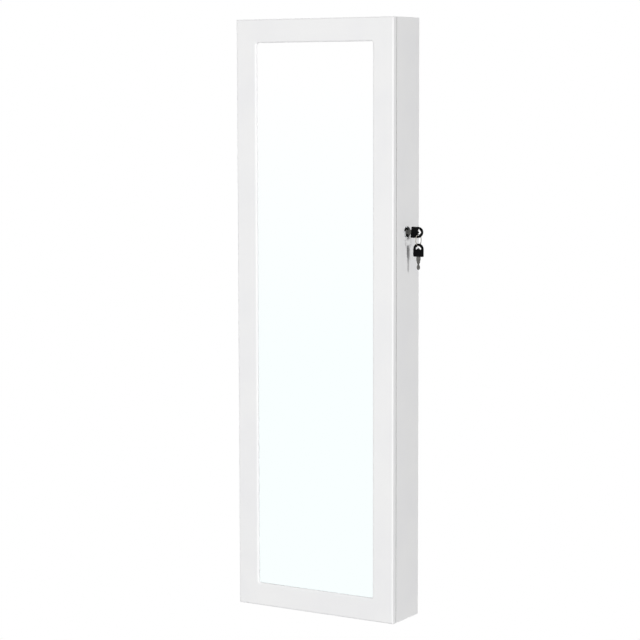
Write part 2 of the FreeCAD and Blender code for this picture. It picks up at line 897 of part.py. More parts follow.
# ---------------------------------------------------------------- lock
def lock_barrel(clearance=0.0):
    """The barrel's double-flat body; with a clearance it is the hole in the side panel."""
    start = V(barrel_end, lock_y, lock_height)
    barrel = rod(barrel_radius + clearance, start, X_AXIS, barrel_length)
    half = barrel_flats / 2 + clearance
    wide = 2 * barrel_radius
    keep = block(barrel_end, half_width, lock_y - wide, lock_y + wide,
                 lock_height - half, lock_height + half)
    return barrel.common(keep).Solids[0]


def lock_housing():
    """Bevelled rosette outside and barrel through the side panel, bored for the plug."""
    face = V(half_width, lock_y, lock_height)
    points = [
        (0, rosette_radius),
        (rosette_rim, rosette_radius),
        (rosette_thickness, rosette_radius - rosette_bevel),
    ]
    housing = joined(revolved(points, face, X_AXIS), lock_barrel())
    bore = rod(plug_radius + plug_clearance, V(barrel_end, lock_y, lock_height), X_AXIS,
               barrel_length + rosette_thickness)
    recess_start = V(plug_face - plug_head_thickness - plug_clearance, lock_y, lock_height)
    recess = rod(plug_head_radius + plug_clearance, recess_start, X_AXIS, 2 * rosette_thickness)
    return housing.cut([bore, recess])


def lock_nut():
    """The hexagonal nut that pulls the rosette against the panel from inside."""
    corner = nut_across_flats / 2 / math.cos(math.radians(30))
    x1 = inner_x
    angles = [math.radians(60 * i) for i in range(7)]
    points = [V(x1, lock_y + corner * math.cos(a), lock_height + corner * math.sin(a)) for a in angles]
    nut = Part.Face(Part.makePolygon(points)).extrude(V(-nut_thickness, 0, 0))
    return nut.cut(lock_barrel(nut_thread_clearance))


def keyway():
    """The slot in the plug that the blade enters."""
    half_wide = blade_width / 2 + keyway_clearance
    half_thick = blade_thickness / 2 + keyway_clearance
    return block(plug_face - keyway_depth, plug_face + plug_recess, lock_y - half_thick, lock_y + half_thick,
                 lock_height - half_wide, lock_height + half_wide)


def lock_plug():
    """The turning plug: head, body, square tail for the cam, and the keyway."""
    length = plug_face - barrel_end
    points = [
        (0, plug_head_radius - plug_head_bevel),
        (plug_head_bevel, plug_head_radius),
        (plug_head_thickness, plug_head_radius),
        (plug_head_thickness, plug_radius),
        (length, plug_radius),
    ]
    plug = revolved(points, V(plug_face, lock_y, lock_height), -X_AXIS)
    half = plug_tail_width / 2
    tail = block(barrel_end - cam_thickness, barrel_end, lock_y - half, lock_y + half,
                 lock_height - half, lock_height + half)
    plug = joined(plug, tail)
    screw_hole = rod(cam_screw_radius + screw_clearance,
                     V(barrel_end - cam_thickness, lock_y, lock_height), X_AXIS, cam_screw_length)
    return turned_with_key(plug.cut([keyway(), screw_hole]))


def cam_screw():
    outer = V(barrel_end - cam_thickness - cam_screw_head_height, lock_y, lock_height)
    points = [
        (0, cam_screw_head_radius - cam_screw_head_bevel),
        (cam_screw_head_bevel, cam_screw_head_radius),
        (cam_screw_head_height, cam_screw_head_radius),
        (cam_screw_head_height, cam_screw_radius),
        (cam_screw_head_height + cam_screw_length - screw_clearance, cam_screw_radius),
    ]
    screw = revolved(points, outer, X_AXIS)
    return turned_with_key(cross_recessed(screw, outer, X_AXIS, cam_screw_head_radius))


def wedge(radius, from_angle, to_angle):
    """A sector of a disc about the lock's axis. Angles start at straight down and open towards the door."""
    x0 = barrel_end - cam_thickness
    wide = 2 * radius
    points = [V(x0, lock_y, lock_height)]
    for i in range(cam_sector_steps + 1):
        angle = math.radians(from_angle + (to_angle - from_angle) * i / cam_sector_steps)
        points.append(V(x0, lock_y - wide * math.sin(angle), lock_height - wide * math.cos(angle)))
    sector = Part.Face(Part.makePolygon(points + points[:1])).extrude(V(cam_thickness, 0, 0))
    return sector.common(rod(radius, points[0], X_AXIS, cam_thickness))


def lock_cam():
    """A hook cam. Unlocked it hangs down; locked it points at the door, its mouth round the strike's pin."""
    x0 = barrel_end - cam_thickness
    centre = V(x0, lock_y, lock_height)
    hub = rod(cam_hub_radius, centre, X_AXIS, cam_thickness)
    half = cam_arm_width / 2
    arm = block(x0, barrel_end, lock_y - half, lock_y + half, lock_height - cam_mouth_radius, lock_height)
    gap = strike_pin_radius + strike_mouth_clearance
    head = wedge(cam_tip_radius, -cam_mouth_angle, cam_mouth_angle + cam_lead_angle)
    head = head.cut(rod(cam_head_inner_radius, centre, X_AXIS, cam_thickness))
    cam = joined(hub, arm, head)
    mouth = wedge(cam_mouth_radius + gap, 0, 90)
    mouth = mouth.cut(rod(cam_mouth_radius - gap, centre, X_AXIS, cam_thickness))
    mouth_end = rod(gap, centre - Z_AXIS * cam_mouth_radius, X_AXIS, cam_thickness)
    square = plug_tail_width / 2 + plug_tail_clearance
    hole = block(x0, barrel_end, lock_y - square, lock_y + square,
                 lock_height - square, lock_height + square)
    return turned_with_key(cam.cut([mouth, mouth_end, hole]))


# ---------------------------------------------------------------- strike on the door
def strike_place():
    """Middle of the strike: beside the cam, on the door, at the lock's height."""
    return barrel_end - cam_thickness / 2, lock_height


def strike_bracket():
    """A steel bracket: a base on the door and two ears that carry the pin the cam hooks over."""
    x, z = strike_place()
    half = strike_base_length / 2
    y0 = door_back
    base = block(x - strike_base_width / 2, x + strike_base_width / 2, y0, y0 + strike_base_thickness,
                 z - half, z + half)
    base = rounded(base, strike_base_corner, lambda e: runs_along(e, Y_AXIS))
    reach = lock_y - cam_mouth_radius + strike_pin_radius + strike_ear_margin
    ears = []
    for side in (-1, 1):
        near = x + side * strike_ear_gap / 2
        x0, x1 = sorted((near, near + side * strike_ear_thickness))
        ear = block(x0, x1, y0, reach, z - strike_ear_width / 2, z + strike_ear_width / 2)
        ear = rounded(ear, strike_ear_corner, lambda e: runs_along(e, X_AXIS)
                      and e.BoundBox.YMin > reach - touching)
        ears.append(ear)
    bracket = joined(base, *ears)
    hole = rod(strike_pin_radius, strike_pin_start(), X_AXIS, strike_pin_length())
    return bracket.cut([hole] + strike_screw_seats())


def strike_pin_length():
    return strike_ear_gap + 2 * strike_ear_thickness


def strike_pin_start():
    x, z = strike_place()
    return V(x - strike_pin_length() / 2, lock_y - cam_mouth_radius, z)


def strike_pin():
    return rod(strike_pin_radius, strike_pin_start(), X_AXIS, strike_pin_length())


def strike_screw_places():
    x, z = strike_place()
    y = door_back + strike_base_thickness
    return [V(x, y, z + s * strike_screw_spacing / 2) for s in (-1, 1)]


def strike_screw_seats():
    return [screw_seat(p, -Y_AXIS, strike_screw_head_radius, strike_screw_radius, strike_screw_length)
            for p in strike_screw_places()]


# ---------------------------------------------------------------- keys, drawn along +X from the bow's base
def capsule(start, end, radius, thickness):
    """A slot with round ends in the XZ plane, centred on y = 0."""
    along = end - start
    side = V(-along.z, 0, along.x).normalize() * radius
    tip_end = end + V(along).normalize() * radius
    tip_start = start - V(along).normalize() * radius
    wire = Part.Wire([
        Part.LineSegment(start + side, end + side).toShape(),
        Part.Arc(end + side, tip_end, end - side).toShape(),
        Part.LineSegment(end - side, start - side).toShape(),
        Part.Arc(start - side, tip_start, start + side).toShape(),
    ])
    slot = Part.Face(wire).extrude(V(0, thickness, 0))
    slot.translate(V(0, -thickness / 2, 0))
    return slot


def key_bow():
    """The moulded bow: a D-shaped grip with a chevron hole, soft edges and a shallow bare panel."""
    half = bow_width / 2
    straight = bow_length - half
    y0 = -bow_thickness / 2
    wire = Part.Wire([
        Part.LineSegment(V(0, y0, -half), V(straight, y0, -half)).toShape(),
        Part.Arc(V(straight, y0, -half), V(bow_length, y0, 0), V(straight, y0, half)).toShape(),
        Part.LineSegment(V(straight, y0, half), V(0, y0, half)).toShape(),
        Part.LineSegment(V(0, y0, half), V(0, y0, -half)).toShape(),
    ])
    bow = Part.Face(wire).extrude(V(0, bow_thickness, 0))
    bow = rounded(bow, bow_corner_radius, lambda e: runs_along(e, Y_AXIS) and e.BoundBox.XMax < touching)

    def on_a_face(edge):
        return edge.BoundBox.YLength < touching

    bow = rounded(bow, bow_edge_round, on_a_face)
    apex = V(bow_hole_apex, 0, 0)
    arms = [
        capsule(apex, V(bow_hole_apex - bow_hole_reach, 0, side * bow_hole_half_width),
                bow_hole_radius, bow_thickness)
        for side in (-1, 1)
    ]
    bow = bow.cut(joined(*arms))
    hole_start = bow_hole_apex - bow_hole_reach - bow_hole_radius - touching
    hole_half = bow_hole_half_width + bow_hole_radius + touching
    bow = bevelled(bow, bow_hole_bevel, lambda e: on_a_face(e) and e.BoundBox.XMin > hole_start
                   and e.BoundBox.ZMin > -hole_half and e.BoundBox.ZMax < hole_half
                   and abs(abs(e.BoundBox.YMin) - bow_thickness / 2) < touching)
    pads = []
    for side in (-1, 1):
        y = side * bow_thickness / 2
        ys = sorted((y, y - side * bow_pad_depth))
        pads.append(block(bow_pad_inset, bow_pad_inset + bow_pad_length, ys[0], ys[1],
                          -half + bow_pad_inset, half - bow_pad_inset))
    tang = block(0, blade_tang_length, -blade_thickness / 2, blade_thickness / 2,
                 -blade_tang_width / 2, blade_tang_width / 2)
    return bow.cut(pads + [tang])


def key_blade():
    """The steel blade with its tang in the bow, a shoulder, and a waist cut into both edges."""
    half = blade_width / 2
    waist = blade_waist_width / 2
    shoulder = blade_shoulder_width / 2
    nose = blade_nose_width / 2
    tip_start = blade_length - half
    tang = blade_tang_width / 2
    lower = [
        (blade_tang_length, -tang), (0, -tang), (0, -shoulder), (-blade_shoulder_length, -shoulder),
        (-blade_shoulder_length, -half), (-blade_waist_start, -half), (-blade_waist_at, -waist),
        (-blade_waist_end, -nose), (-tip_start, -nose),
    ]
    points = [V(x, 0, z) for x, z in lower]
    mirrored = [V(p.x, 0, -p.z) for p in reversed(points)]
    edges = [Part.LineSegment(a, b).toShape() for a, b in zip(points, points[1:])]
    edges.append(Part.Arc(points[-1], V(-blade_length, 0, 0), mirrored[0]).toShape())
    edges += [Part.LineSegment(a, b).toShape() for a, b in zip(mirrored, mirrored[1:])]
    edges.append(Part.LineSegment(mirrored[-1], points[0]).toShape())
    blade = Part.Face(Part.Wire(edges)).extrude(V(0, blade_thickness, 0))
    blade.translate(V(0, -blade_thickness / 2, 0))
    return blade


def key_in_lock(shape):
    """Puts a key piece in the lock, its bow outside the right side panel."""
    placed = shape.copy()
    placed.translate(V(bow_base_x, lock_y, lock_height))
    return turned_with_key(placed)


def ring_pivot():
    """Middle of the rim below the chevron hole, in the bow of the key in the lock."""
    turn = math.radians(key_turned_at_rest)
    y = lock_y - ring_rim_centre * math.sin(turn)
    z = lock_height - ring_rim_centre * math.cos(turn)
    return V(bow_base_x + ring_at_bow, y, z)


def ring_centre():
    """The ring hangs round that rim, square to the bow, far enough off it to swing."""
    rim_reach = math.hypot(bow_thickness / 2, ring_rim_centre - bow_hole_half_width - bow_hole_radius
                           + bow_hole_bevel - ring_wire_radius / 2)
    return ring_pivot() - Z_AXIS * (ring_radius - ring_wire_radius - rim_reach - ring_rim_clearance)


def key_ring():
    """A ring of thin wire, its section a many-sided figure."""
    centre = ring_centre()
    step = 2 * math.pi / ring_wire_sides
    points = []
    for i in range(ring_wire_sides):
        angle = step * (i + 0.5)
        out = ring_radius + ring_wire_radius * math.cos(angle)
        points.append(centre + V(ring_wire_radius * math.sin(angle), 0, out))
    section = Part.Face(Part.makePolygon(points + points[:1]))
    return section.revolve(centre, X_AXIS, 360)


def spare_key(shape):
    """Hangs a key piece on the bottom of the ring by the point of its chevron hole, blade down."""
    placed = shape.copy()
    placed.rotate(V(0, 0, 0), Y_AXIS, -90)
    wire_in_hole = bow_hole_apex + bow_hole_radius - ring_wire_radius - ring_seat_clearance
    bottom = ring_centre() - Z_AXIS * ring_radius
    placed.translate(bottom - Z_AXIS * wire_in_hole)
    return placed


# ---------------------------------------------------------------- the parts
def build():
    os.makedirs("parts", exist_ok=True)
    on_case, on_door = hinge_screw_heads()
    parts = {
        "side_panel_left": [side_panel(-1)],
        "side_panel_right": [side_panel(1)],
        "top_panel": [end_panel(ceiling, cabinet_height)],
        "bottom_panel": [end_panel(0, floor)],
        "back_panel": [back_panel()],
        "hanging_rail_top": [hanging_rail(ceiling - rail_height, ceiling)],
        "hanging_rail_bottom": [hanging_rail(floor, floor + rail_height)],
        "back_lining": [back_lining()],
        "panel_dowels": dowels(),
        "back_panel_screws": back_screws(),
        "shelf_mats": [shelf_mat(top) for top in shelf_tops],
        "shelf_guard_rods": [guard_rod(top) for top in shelf_tops],
        "necklace_bar": [peg_bar(bar_half, ceiling - bar_drop, lining_face, -1)],
        "necklace_pegs": peg_row(bar_half, lining_face - bar_thickness, ceiling - bar_drop, -1),
        "earring_panel": [earring_panel()],
        "earring_panel_standoffs": earring_standoffs(),
        "ring_tray": [ring_tray()],
        "ring_rolls": ring_rolls(),
        "bracelet_rod": [bracelet_rod()],
        "bracelet_rod_cups": [bracelet_cup(-1), bracelet_cup(1)],
        "magnet_catch": [magnet_catch()],
        "magnet_catch_screws": [
            countersunk(p, X_AXIS, catch_screw_head_radius, catch_screw_radius, catch_screw_length)
            for p in catch_screw_places()
        ],
        "door_bumpers": bumpers(),
        "case_hinge_leaves": case_leaves(),
        "case_hinge_screws": hinge_screws(on_case),
        "hinge_pins": hinge_pins(),
        "lock_housing": [lock_housing()],
        "lock_nut": [lock_nut()],
        "door_frame": [door_frame()],
        "mirror_glass": [rabbet_sheet(glass_front, glass_back)],
        "mirror_backing": [rabbet_sheet(glass_back, backing_back)],
        "door_lining": [rabbet_sheet(backing_back, door_back)],
        "door_hinge_leaves": door_leaves(),
        "door_hinge_screws": hinge_screws(on_door),
        "door_necklace_bar": [peg_bar(door_bar_half, ceiling - door_bar_drop, door_back, 1)],
        "door_necklace_pegs": peg_row(door_bar_half, door_back + bar_thickness, ceiling - door_bar_drop, 1),
        "earring_strips": [earring_strip(z) for z in strip_heights],
        "door_rack": [door_rack()],
        "door_rack_rod": [rod(rack_rod_radius, rack_rod_start(), X_AXIS, rack_rod_length())],
        "strike_bracket": [strike_bracket()],
        "strike_pin": [strike_pin()],
        "strike_screws": [
            countersunk(p, -Y_AXIS, strike_screw_head_radius, strike_screw_radius, strike_screw_length)
            for p in strike_screw_places()
        ],
        "catch_plate": [catch_plate()],
        "catch_plate_screw": [
            countersunk(catch_plate_screw_place(), -Y_AXIS, catch_screw_head_radius, catch_screw_radius,
                        catch_plate_screw_length)
        ],
        "lock_plug": [lock_plug()],
        "lock_cam": [lock_cam()],
        "cam_screw": [cam_screw()],
        "key_bow": [key_in_lock(key_bow())],
        "key_blade": [key_in_lock(key_blade())],
        "key_ring": [key_ring()],
        "spare_key_bow": [spare_key(key_bow())],
        "spare_key_blade": [spare_key(key_blade())],
    }
    for name, top in zip(shelf_names, shelf_tops):
        parts[name] = [shelf(top)]
    for name, shapes in parts.items():
        save(name, shapes)
    print("hinge axis", round(hinge_x, 3), round(hinge_y, 3))
    print("lock axis", lock_y, lock_height)
    spare_pivot = ring_centre() - Z_AXIS * ring_radius
    for name, point in (("ring pivot", ring_pivot()), ("spare key pivot", spare_pivot)):
        print(name, [round(value, 3) for value in point])


build()
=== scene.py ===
import json
import math

import bpy
from mathutils import Matrix, Vector, noise


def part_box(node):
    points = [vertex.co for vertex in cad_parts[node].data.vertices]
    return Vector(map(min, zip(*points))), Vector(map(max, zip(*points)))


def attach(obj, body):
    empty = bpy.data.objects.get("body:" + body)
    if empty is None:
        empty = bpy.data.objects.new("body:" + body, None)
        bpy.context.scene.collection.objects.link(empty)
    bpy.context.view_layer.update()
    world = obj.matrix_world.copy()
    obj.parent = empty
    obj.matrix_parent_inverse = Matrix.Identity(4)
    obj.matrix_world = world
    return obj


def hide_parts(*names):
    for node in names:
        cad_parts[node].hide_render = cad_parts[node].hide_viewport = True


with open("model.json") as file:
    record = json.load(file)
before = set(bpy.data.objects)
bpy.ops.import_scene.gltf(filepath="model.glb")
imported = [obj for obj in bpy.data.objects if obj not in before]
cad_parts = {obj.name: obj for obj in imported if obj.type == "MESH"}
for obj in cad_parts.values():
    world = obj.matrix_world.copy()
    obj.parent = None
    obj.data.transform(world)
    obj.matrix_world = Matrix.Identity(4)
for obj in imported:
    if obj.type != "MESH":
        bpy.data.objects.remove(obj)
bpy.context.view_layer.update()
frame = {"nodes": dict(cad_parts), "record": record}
scene = bpy.context.scene
mm = 0.001  # the scene is in metres


def linear(hexColour):
    # sRGB hex to the linear colour that sockets take
    channels = [int(hexColour[i:i + 2], 16) / 255 for i in (1, 3, 5)]
    return [c / 12.92 if c <= 0.04045 else ((c + 0.055) / 1.055) ** 2.4 for c in channels] + [1.0]


def addNode(tree, kind, settings=None, values=None, links=None):
    # one node with its settings, its fixed inputs and its incoming links
    node = tree.nodes.new("ShaderNode" + kind)
    for name, value in (settings or {}).items():
        setattr(node, name, value)
    for name, value in (values or {}).items():
        node.inputs[name].default_value = value
    for name, socket in (links or {}).items():
        tree.links.new(socket, node.inputs[name])
    return node


def newMaterial(name):
    # a fresh material, its tree, its shader, and the place on the object that its patterns follow
    material = bpy.data.materials.new(name)
    material.use_nodes = True
    tree = material.node_tree
    place = addNode(tree, "TexCoord").outputs["Object"]
    return material, tree, tree.nodes["Principled BSDF"], place


def perMetre(sizeInMm):
    # texture scale that makes one cell this many millimetres wide
    return 1 / (sizeInMm * mm)


def wavesPerMetre(sizeInMm):
    # the wave texture turns through 20 radians in each unit
    return math.tau / 20 / (sizeInMm * mm)


def meshPiece(name, points, faces, body, material, smooth=True):
    # a piece made here, which rides one of the frame's bodies
    mesh = bpy.data.meshes.new(name)
    mesh.from_pydata([tuple(p) for p in points], [], faces)
    mesh.validate()
    mesh.update()
    for polygon in mesh.polygons:
        polygon.use_smooth = smooth
    piece = bpy.data.objects.new(name, mesh)
    scene.collection.objects.link(piece)
    piece.data.materials.append(material)
    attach(piece, body)
    return piece


def joinMeshes(parts):
    # several (points, faces) lists as one
    points, faces = [], []
    for somePoints, someFaces in parts:
        start = len(points)
        points += somePoints
        faces += [[start + i for i in face] for face in someFaces]
    return points, faces


def tubeFaces(ringCount, ringSize):
    # quads between rings of points, with a flat cap at each end
    faces = []
    for r in range(ringCount - 1):
        here, ahead = r * ringSize, (r + 1) * ringSize
        for i in range(ringSize):
            j = (i + 1) % ringSize
            faces.append([here + i, here + j, ahead + j, ahead + i])
    faces.append(list(range(ringSize))[::-1])
    faces.append([(ringCount - 1) * ringSize + i for i in range(ringSize)])
    return faces


# In the looks, roughFrom and roughTo are the glossiest and the dullest roughness of one surface, and a pair
# such as passFrom and passTo are the values of its noise between which it changes over.

# Satin polyurethane lacquer sprayed on MDF: an even white with a soft sheen, a faint orange peel, slightly
# uneven gloss where passes overlap, and edges rounded by the thickness of the paint. The case boards' front
# edges, which sit in the narrow gap behind the door, are coloured grey: painted shade for the dark gap line.
whiteLacquerLook = dict(colour="#f2f2f2", overlap="#efeff0", paintedGapShade="#c4c4c2", roughFrom=0.35, roughTo=0.42,
                        ior=1.5, specular=0.3, passMm=90, passFrom=0.35, passTo=0.7, peelMm=2.4,
                        peelDepthMm=0.01, edgeMm=0.12, paintedShadeWithinMm=0.1)
whiteLacquer, tree, shader, place = newMaterial("whiteLacquerSprayedSatin")
look = whiteLacquerLook
passes = addNode(tree, "TexNoise", values={"Scale": perMetre(look["passMm"]), "Detail": 2.0},
                 links={"Vector": place})
spread = addNode(tree, "MapRange", values={"From Min": look["passFrom"], "From Max": look["passTo"]},
                 links={"Value": passes.outputs["Fac"]})
tone = addNode(tree, "Mix", {"data_type": "RGBA"},
               {"A": linear(look["colour"]), "B": linear(look["overlap"])},
               {"Factor": spread.outputs["Result"]})
fromFront = addNode(tree, "SeparateXYZ", links={"Vector": place})
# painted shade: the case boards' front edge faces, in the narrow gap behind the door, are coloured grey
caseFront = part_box("side_panel_right")[0].y
paintedShadeMask = addNode(tree, "Math", {"operation": "COMPARE"}, {1: caseFront, 2: look["paintedShadeWithinMm"] * mm},
                  {0: fromFront.outputs["Y"]})
withPaintedGapShade = addNode(tree, "Mix", {"data_type": "RGBA"}, {"B": linear(look["paintedGapShade"])},
                    {"A": tone.outputs["Result"], "Factor": paintedShadeMask.outputs["Value"]})
gloss = addNode(tree, "MapRange", values={"To Min": look["roughFrom"], "To Max": look["roughTo"]},
                links={"Value": passes.outputs["Fac"]})
peel = addNode(tree, "TexNoise", values={"Scale": perMetre(look["peelMm"]), "Detail": 1.5, "Roughness": 0.4},
               links={"Vector": place})
edge = addNode(tree, "Bevel", {"samples": 4}, {"Radius": look["edgeMm"] * mm})
relief = addNode(tree, "Bump", values={"Strength": 1.0, "Distance": look["peelDepthMm"] * mm},
                 links={"Height": peel.outputs["Fac"], "Normal": edge.outputs["Normal"]})
shader.inputs["IOR"].default_value = look["ior"]
shader.inputs["Specular IOR Level"].default_value = look["specular"]  # the matting agent dulls it
tree.links.new(withPaintedGapShade.outputs["Result"], shader.inputs["Base Color"])
tree.links.new(gloss.outputs["Result"], shader.inputs["Roughness"])
tree.links.new(relief.outputs["Normal"], shader.inputs["Normal"])

# White-coated hardboard: a flatter, greyer white, with the print of the press screen in a fine square grid.
hardboardLook = dict(colour="#dedfdd", fibre="#d2d2cf", roughness=0.62, ior=1.48, screenMm=1.8, fibreMm=6,
                     reliefStrength=0.6, reliefMm=0.05)
whiteHardboard, tree, shader, place = newMaterial("whiteHardboardPressed")
look = hardboardLook
fibres = addNode(tree, "TexNoise", values={"Scale": perMetre(look["fibreMm"]), "Detail": 4.0},
                 links={"Vector": place})
tone = addNode(tree, "Mix", {"data_type": "RGBA"}, {"A": linear(look["colour"]), "B": linear(look["fibre"])},
               {"Factor": fibres.outputs["Fac"]})
acrossScreen = addNode(tree, "TexWave", {"bands_direction": "X"}, {"Scale": wavesPerMetre(look["screenMm"])},
                       {"Vector": place})
upScreen = addNode(tree, "TexWave", {"bands_direction": "Z"}, {"Scale": wavesPerMetre(look["screenMm"])},
                   {"Vector": place})
screen = addNode(tree, "Math", {"operation": "MAXIMUM"},
                 links={0: acrossScreen.outputs["Fac"], 1: upScreen.outputs["Fac"]})
relief = addNode(tree, "Bump", values={"Strength": look["reliefStrength"], "Distance": look["reliefMm"] * mm},
                 links={"Height": screen.outputs["Value"]})
shader.inputs["IOR"].default_value = look["ior"]
shader.inputs["Roughness"].default_value = look["roughness"]
tree.links.new(tone.outputs["Result"], shader.inputs["Base Color"])
tree.links.new(relief.outputs["Normal"], shader.inputs["Normal"])

# Nylon velvet glued on board and foam: a deep black pile with a grey sheen, and painted sheen in its colour:
# lighter patches where the pile is brushed one way, and lighter pile tips. The pile is drawn at 1.1 mm,
# coarser than real, so that it shows.
velvetLook = dict(colour="#060607", paintedSheen="#232328", roughness=0.92, sheen=0.6, sheenRoughness=0.3,
                  sheenTint="#9a9aa6", napStretch=0.55, pileMm=1.1, pileFrom=0.38, pileTo=0.66,
                  pileShare=0.55, patchMm=30, patchFrom=0.36, patchTo=0.66, reliefStrength=0.8, reliefMm=0.7)
blackVelvet, tree, shader, place = newMaterial("blackNylonVelvet")
look = velvetLook
nap = addNode(tree, "Mapping", values={"Scale": (1.0, 1.0, look["napStretch"])}, links={"Vector": place})
pile = addNode(tree, "TexNoise", values={"Scale": perMetre(look["pileMm"]), "Detail": 3.0, "Roughness": 0.6},
               links={"Vector": nap.outputs["Vector"]})
patches = addNode(tree, "TexNoise",
                  values={"Scale": perMetre(look["patchMm"]), "Detail": 3.0, "Distortion": 0.8},
                  links={"Vector": nap.outputs["Vector"]})
# painted sheen: the colour turns lighter in patches where the pile leans one way, and at the pile tips
paintedSheenPatches = addNode(tree, "MapRange", {"interpolation_type": "SMOOTHSTEP"},
                  {"From Min": look["patchFrom"], "From Max": look["patchTo"],
                   "To Max": 1 - look["pileShare"]},
                  {"Value": patches.outputs["Fac"]})
paintedSheenTips = addNode(tree, "MapRange",
               values={"From Min": look["pileFrom"], "From Max": look["pileTo"], "To Max": look["pileShare"]},
               links={"Value": pile.outputs["Fac"]})
share = addNode(tree, "Math", {"operation": "ADD", "use_clamp": True},
                links={0: paintedSheenPatches.outputs["Result"], 1: paintedSheenTips.outputs["Result"]})
tone = addNode(tree, "Mix", {"data_type": "RGBA"},
               {"A": linear(look["colour"]), "B": linear(look["paintedSheen"])},
               {"Factor": share.outputs["Value"]})
relief = addNode(tree, "Bump", values={"Strength": look["reliefStrength"], "Distance": look["reliefMm"] * mm},
                 links={"Height": pile.outputs["Fac"]})
shader.inputs["Roughness"].default_value = look["roughness"]
shader.inputs["Sheen Weight"].default_value = look["sheen"]
shader.inputs["Sheen Roughness"].default_value = look["sheenRoughness"]
shader.inputs["Sheen Tint"].default_value = linear(look["sheenTint"])
tree.links.new(tone.outputs["Result"], shader.inputs["Base Color"])
tree.links.new(relief.outputs["Normal"], shader.inputs["Normal"])

# Beech, turned and planed: a warm pale wood with long fine grain and short darker flecks.
beechLook = dict(pale="#dcb98c", dark="#c49a68", roughness=0.55, ior=1.5, grainMm=2.2, grainStretch=0.08,
                 fleckMm=0.6, fleckFrom=0.15, fleckTo=0.4, reliefStrength=0.4, reliefMm=0.05)
turnedBeech, tree, shader, place = newMaterial("beechTurned")
look = beechLook
along = addNode(tree, "Mapping", values={"Scale": (look["grainStretch"], 1.0, 1.0)}, links={"Vector": place})
grain = addNode(tree, "TexNoise",
                values={"Scale": perMetre(look["grainMm"]), "Detail": 4.0, "Distortion": 0.4},
                links={"Vector": along.outputs["Vector"]})
fleck = addNode(tree, "TexNoise", values={"Scale": perMetre(look["fleckMm"]), "Detail": 2.0},
                links={"Vector": along.outputs["Vector"]})
both = addNode(tree, "Math", {"operation": "MULTIPLY"},
               links={0: grain.outputs["Fac"], 1: fleck.outputs["Fac"]})
strong = addNode(tree, "MapRange", values={"From Min": look["fleckFrom"], "From Max": look["fleckTo"]},
                 links={"Value": both.outputs["Value"]})
tone = addNode(tree, "Mix", {"data_type": "RGBA"}, {"A": linear(look["dark"]), "B": linear(look["pale"])},
               {"Factor": strong.outputs["Result"]})
relief = addNode(tree, "Bump", values={"Strength": look["reliefStrength"], "Distance": look["reliefMm"] * mm},
                 links={"Height": both.outputs["Value"]})
shader.inputs["Roughness"].default_value = look["roughness"]
shader.inputs["IOR"].default_value = look["ior"]
tree.links.new(tone.outputs["Result"], shader.inputs["Base Color"])
tree.links.new(relief.outputs["Normal"], shader.inputs["Normal"])

# Nickel plate on drawn and rolled steel: a warm bright metal whose reflections are drawn out by fine lines
# along the bar or strip, with duller clouds where fingers have been.
nickelLook = dict(colour="#d6d0c6", dull="#c2bcb1", roughFrom=0.17, roughTo=0.34, lineMm=0.4,
                  lineStretch=0.04, cloudMm=9, cloudFrom=0.3, cloudTo=0.7, reliefStrength=0.15,
                  reliefMm=0.008, edgeMm=0.15)
# The keys' blades are the same plate over milled blanks, dulled in use, and coloured darker: a painted
# reflection of dark surroundings.
bladePaintedDarkLook = dict(nickelLook, colour="#807f7c", dull="#5e5d5a", roughFrom=0.25, roughTo=0.42, cloudMm=5)


def nickelPlate(name, along, look):
    # the fine lines run along the named axis
    material, tree, shader, place = newMaterial(name)
    stretch = [look["lineStretch"] if axis == along else 1.0 for axis in "xyz"]
    drawn = addNode(tree, "Mapping", values={"Scale": stretch}, links={"Vector": place})
    lines = addNode(tree, "TexNoise", values={"Scale": perMetre(look["lineMm"]), "Detail": 2.0},
                    links={"Vector": drawn.outputs["Vector"]})
    clouds = addNode(tree, "TexNoise", values={"Scale": perMetre(look["cloudMm"]), "Detail": 3.0},
                     links={"Vector": place})
    tone = addNode(tree, "Mix", {"data_type": "RGBA"},
                   {"A": linear(look["colour"]), "B": linear(look["dull"])},
                   {"Factor": clouds.outputs["Fac"]})
    gloss = addNode(tree, "MapRange",
                    values={"From Min": look["cloudFrom"], "From Max": look["cloudTo"],
                            "To Min": look["roughFrom"], "To Max": look["roughTo"]},
                    links={"Value": clouds.outputs["Fac"]})
    edge = addNode(tree, "Bevel", {"samples": 4}, {"Radius": look["edgeMm"] * mm})
    relief = addNode(tree, "Bump",
                     values={"Strength": look["reliefStrength"], "Distance": look["reliefMm"] * mm},
                     links={"Height": lines.outputs["Fac"], "Normal": edge.outputs["Normal"]})
    shader.inputs["Metallic"].default_value = 1.0
    tree.links.new(tone.outputs["Result"], shader.inputs["Base Color"])
    tree.links.new(gloss.outputs["Result"], shader.inputs["Roughness"])
    tree.links.new(relief.outputs["Normal"], shader.inputs["Normal"])
    return material


nickelUpright = nickelPlate("nickelPlatedSteelRolled", "z", nickelLook)
nickelBar = nickelPlate("nickelPlatedSteelDrawn", "x", nickelLook)
# painted reflection: the blades' nickel is coloured darker than the other nickel
bladeHangingMetal = nickelPlate("nickelPlatedBladeMilledUpright", "z", bladePaintedDarkLook)
bladeInLockMetal = nickelPlate("nickelPlatedBladeMilled", "x", bladePaintedDarkLook)

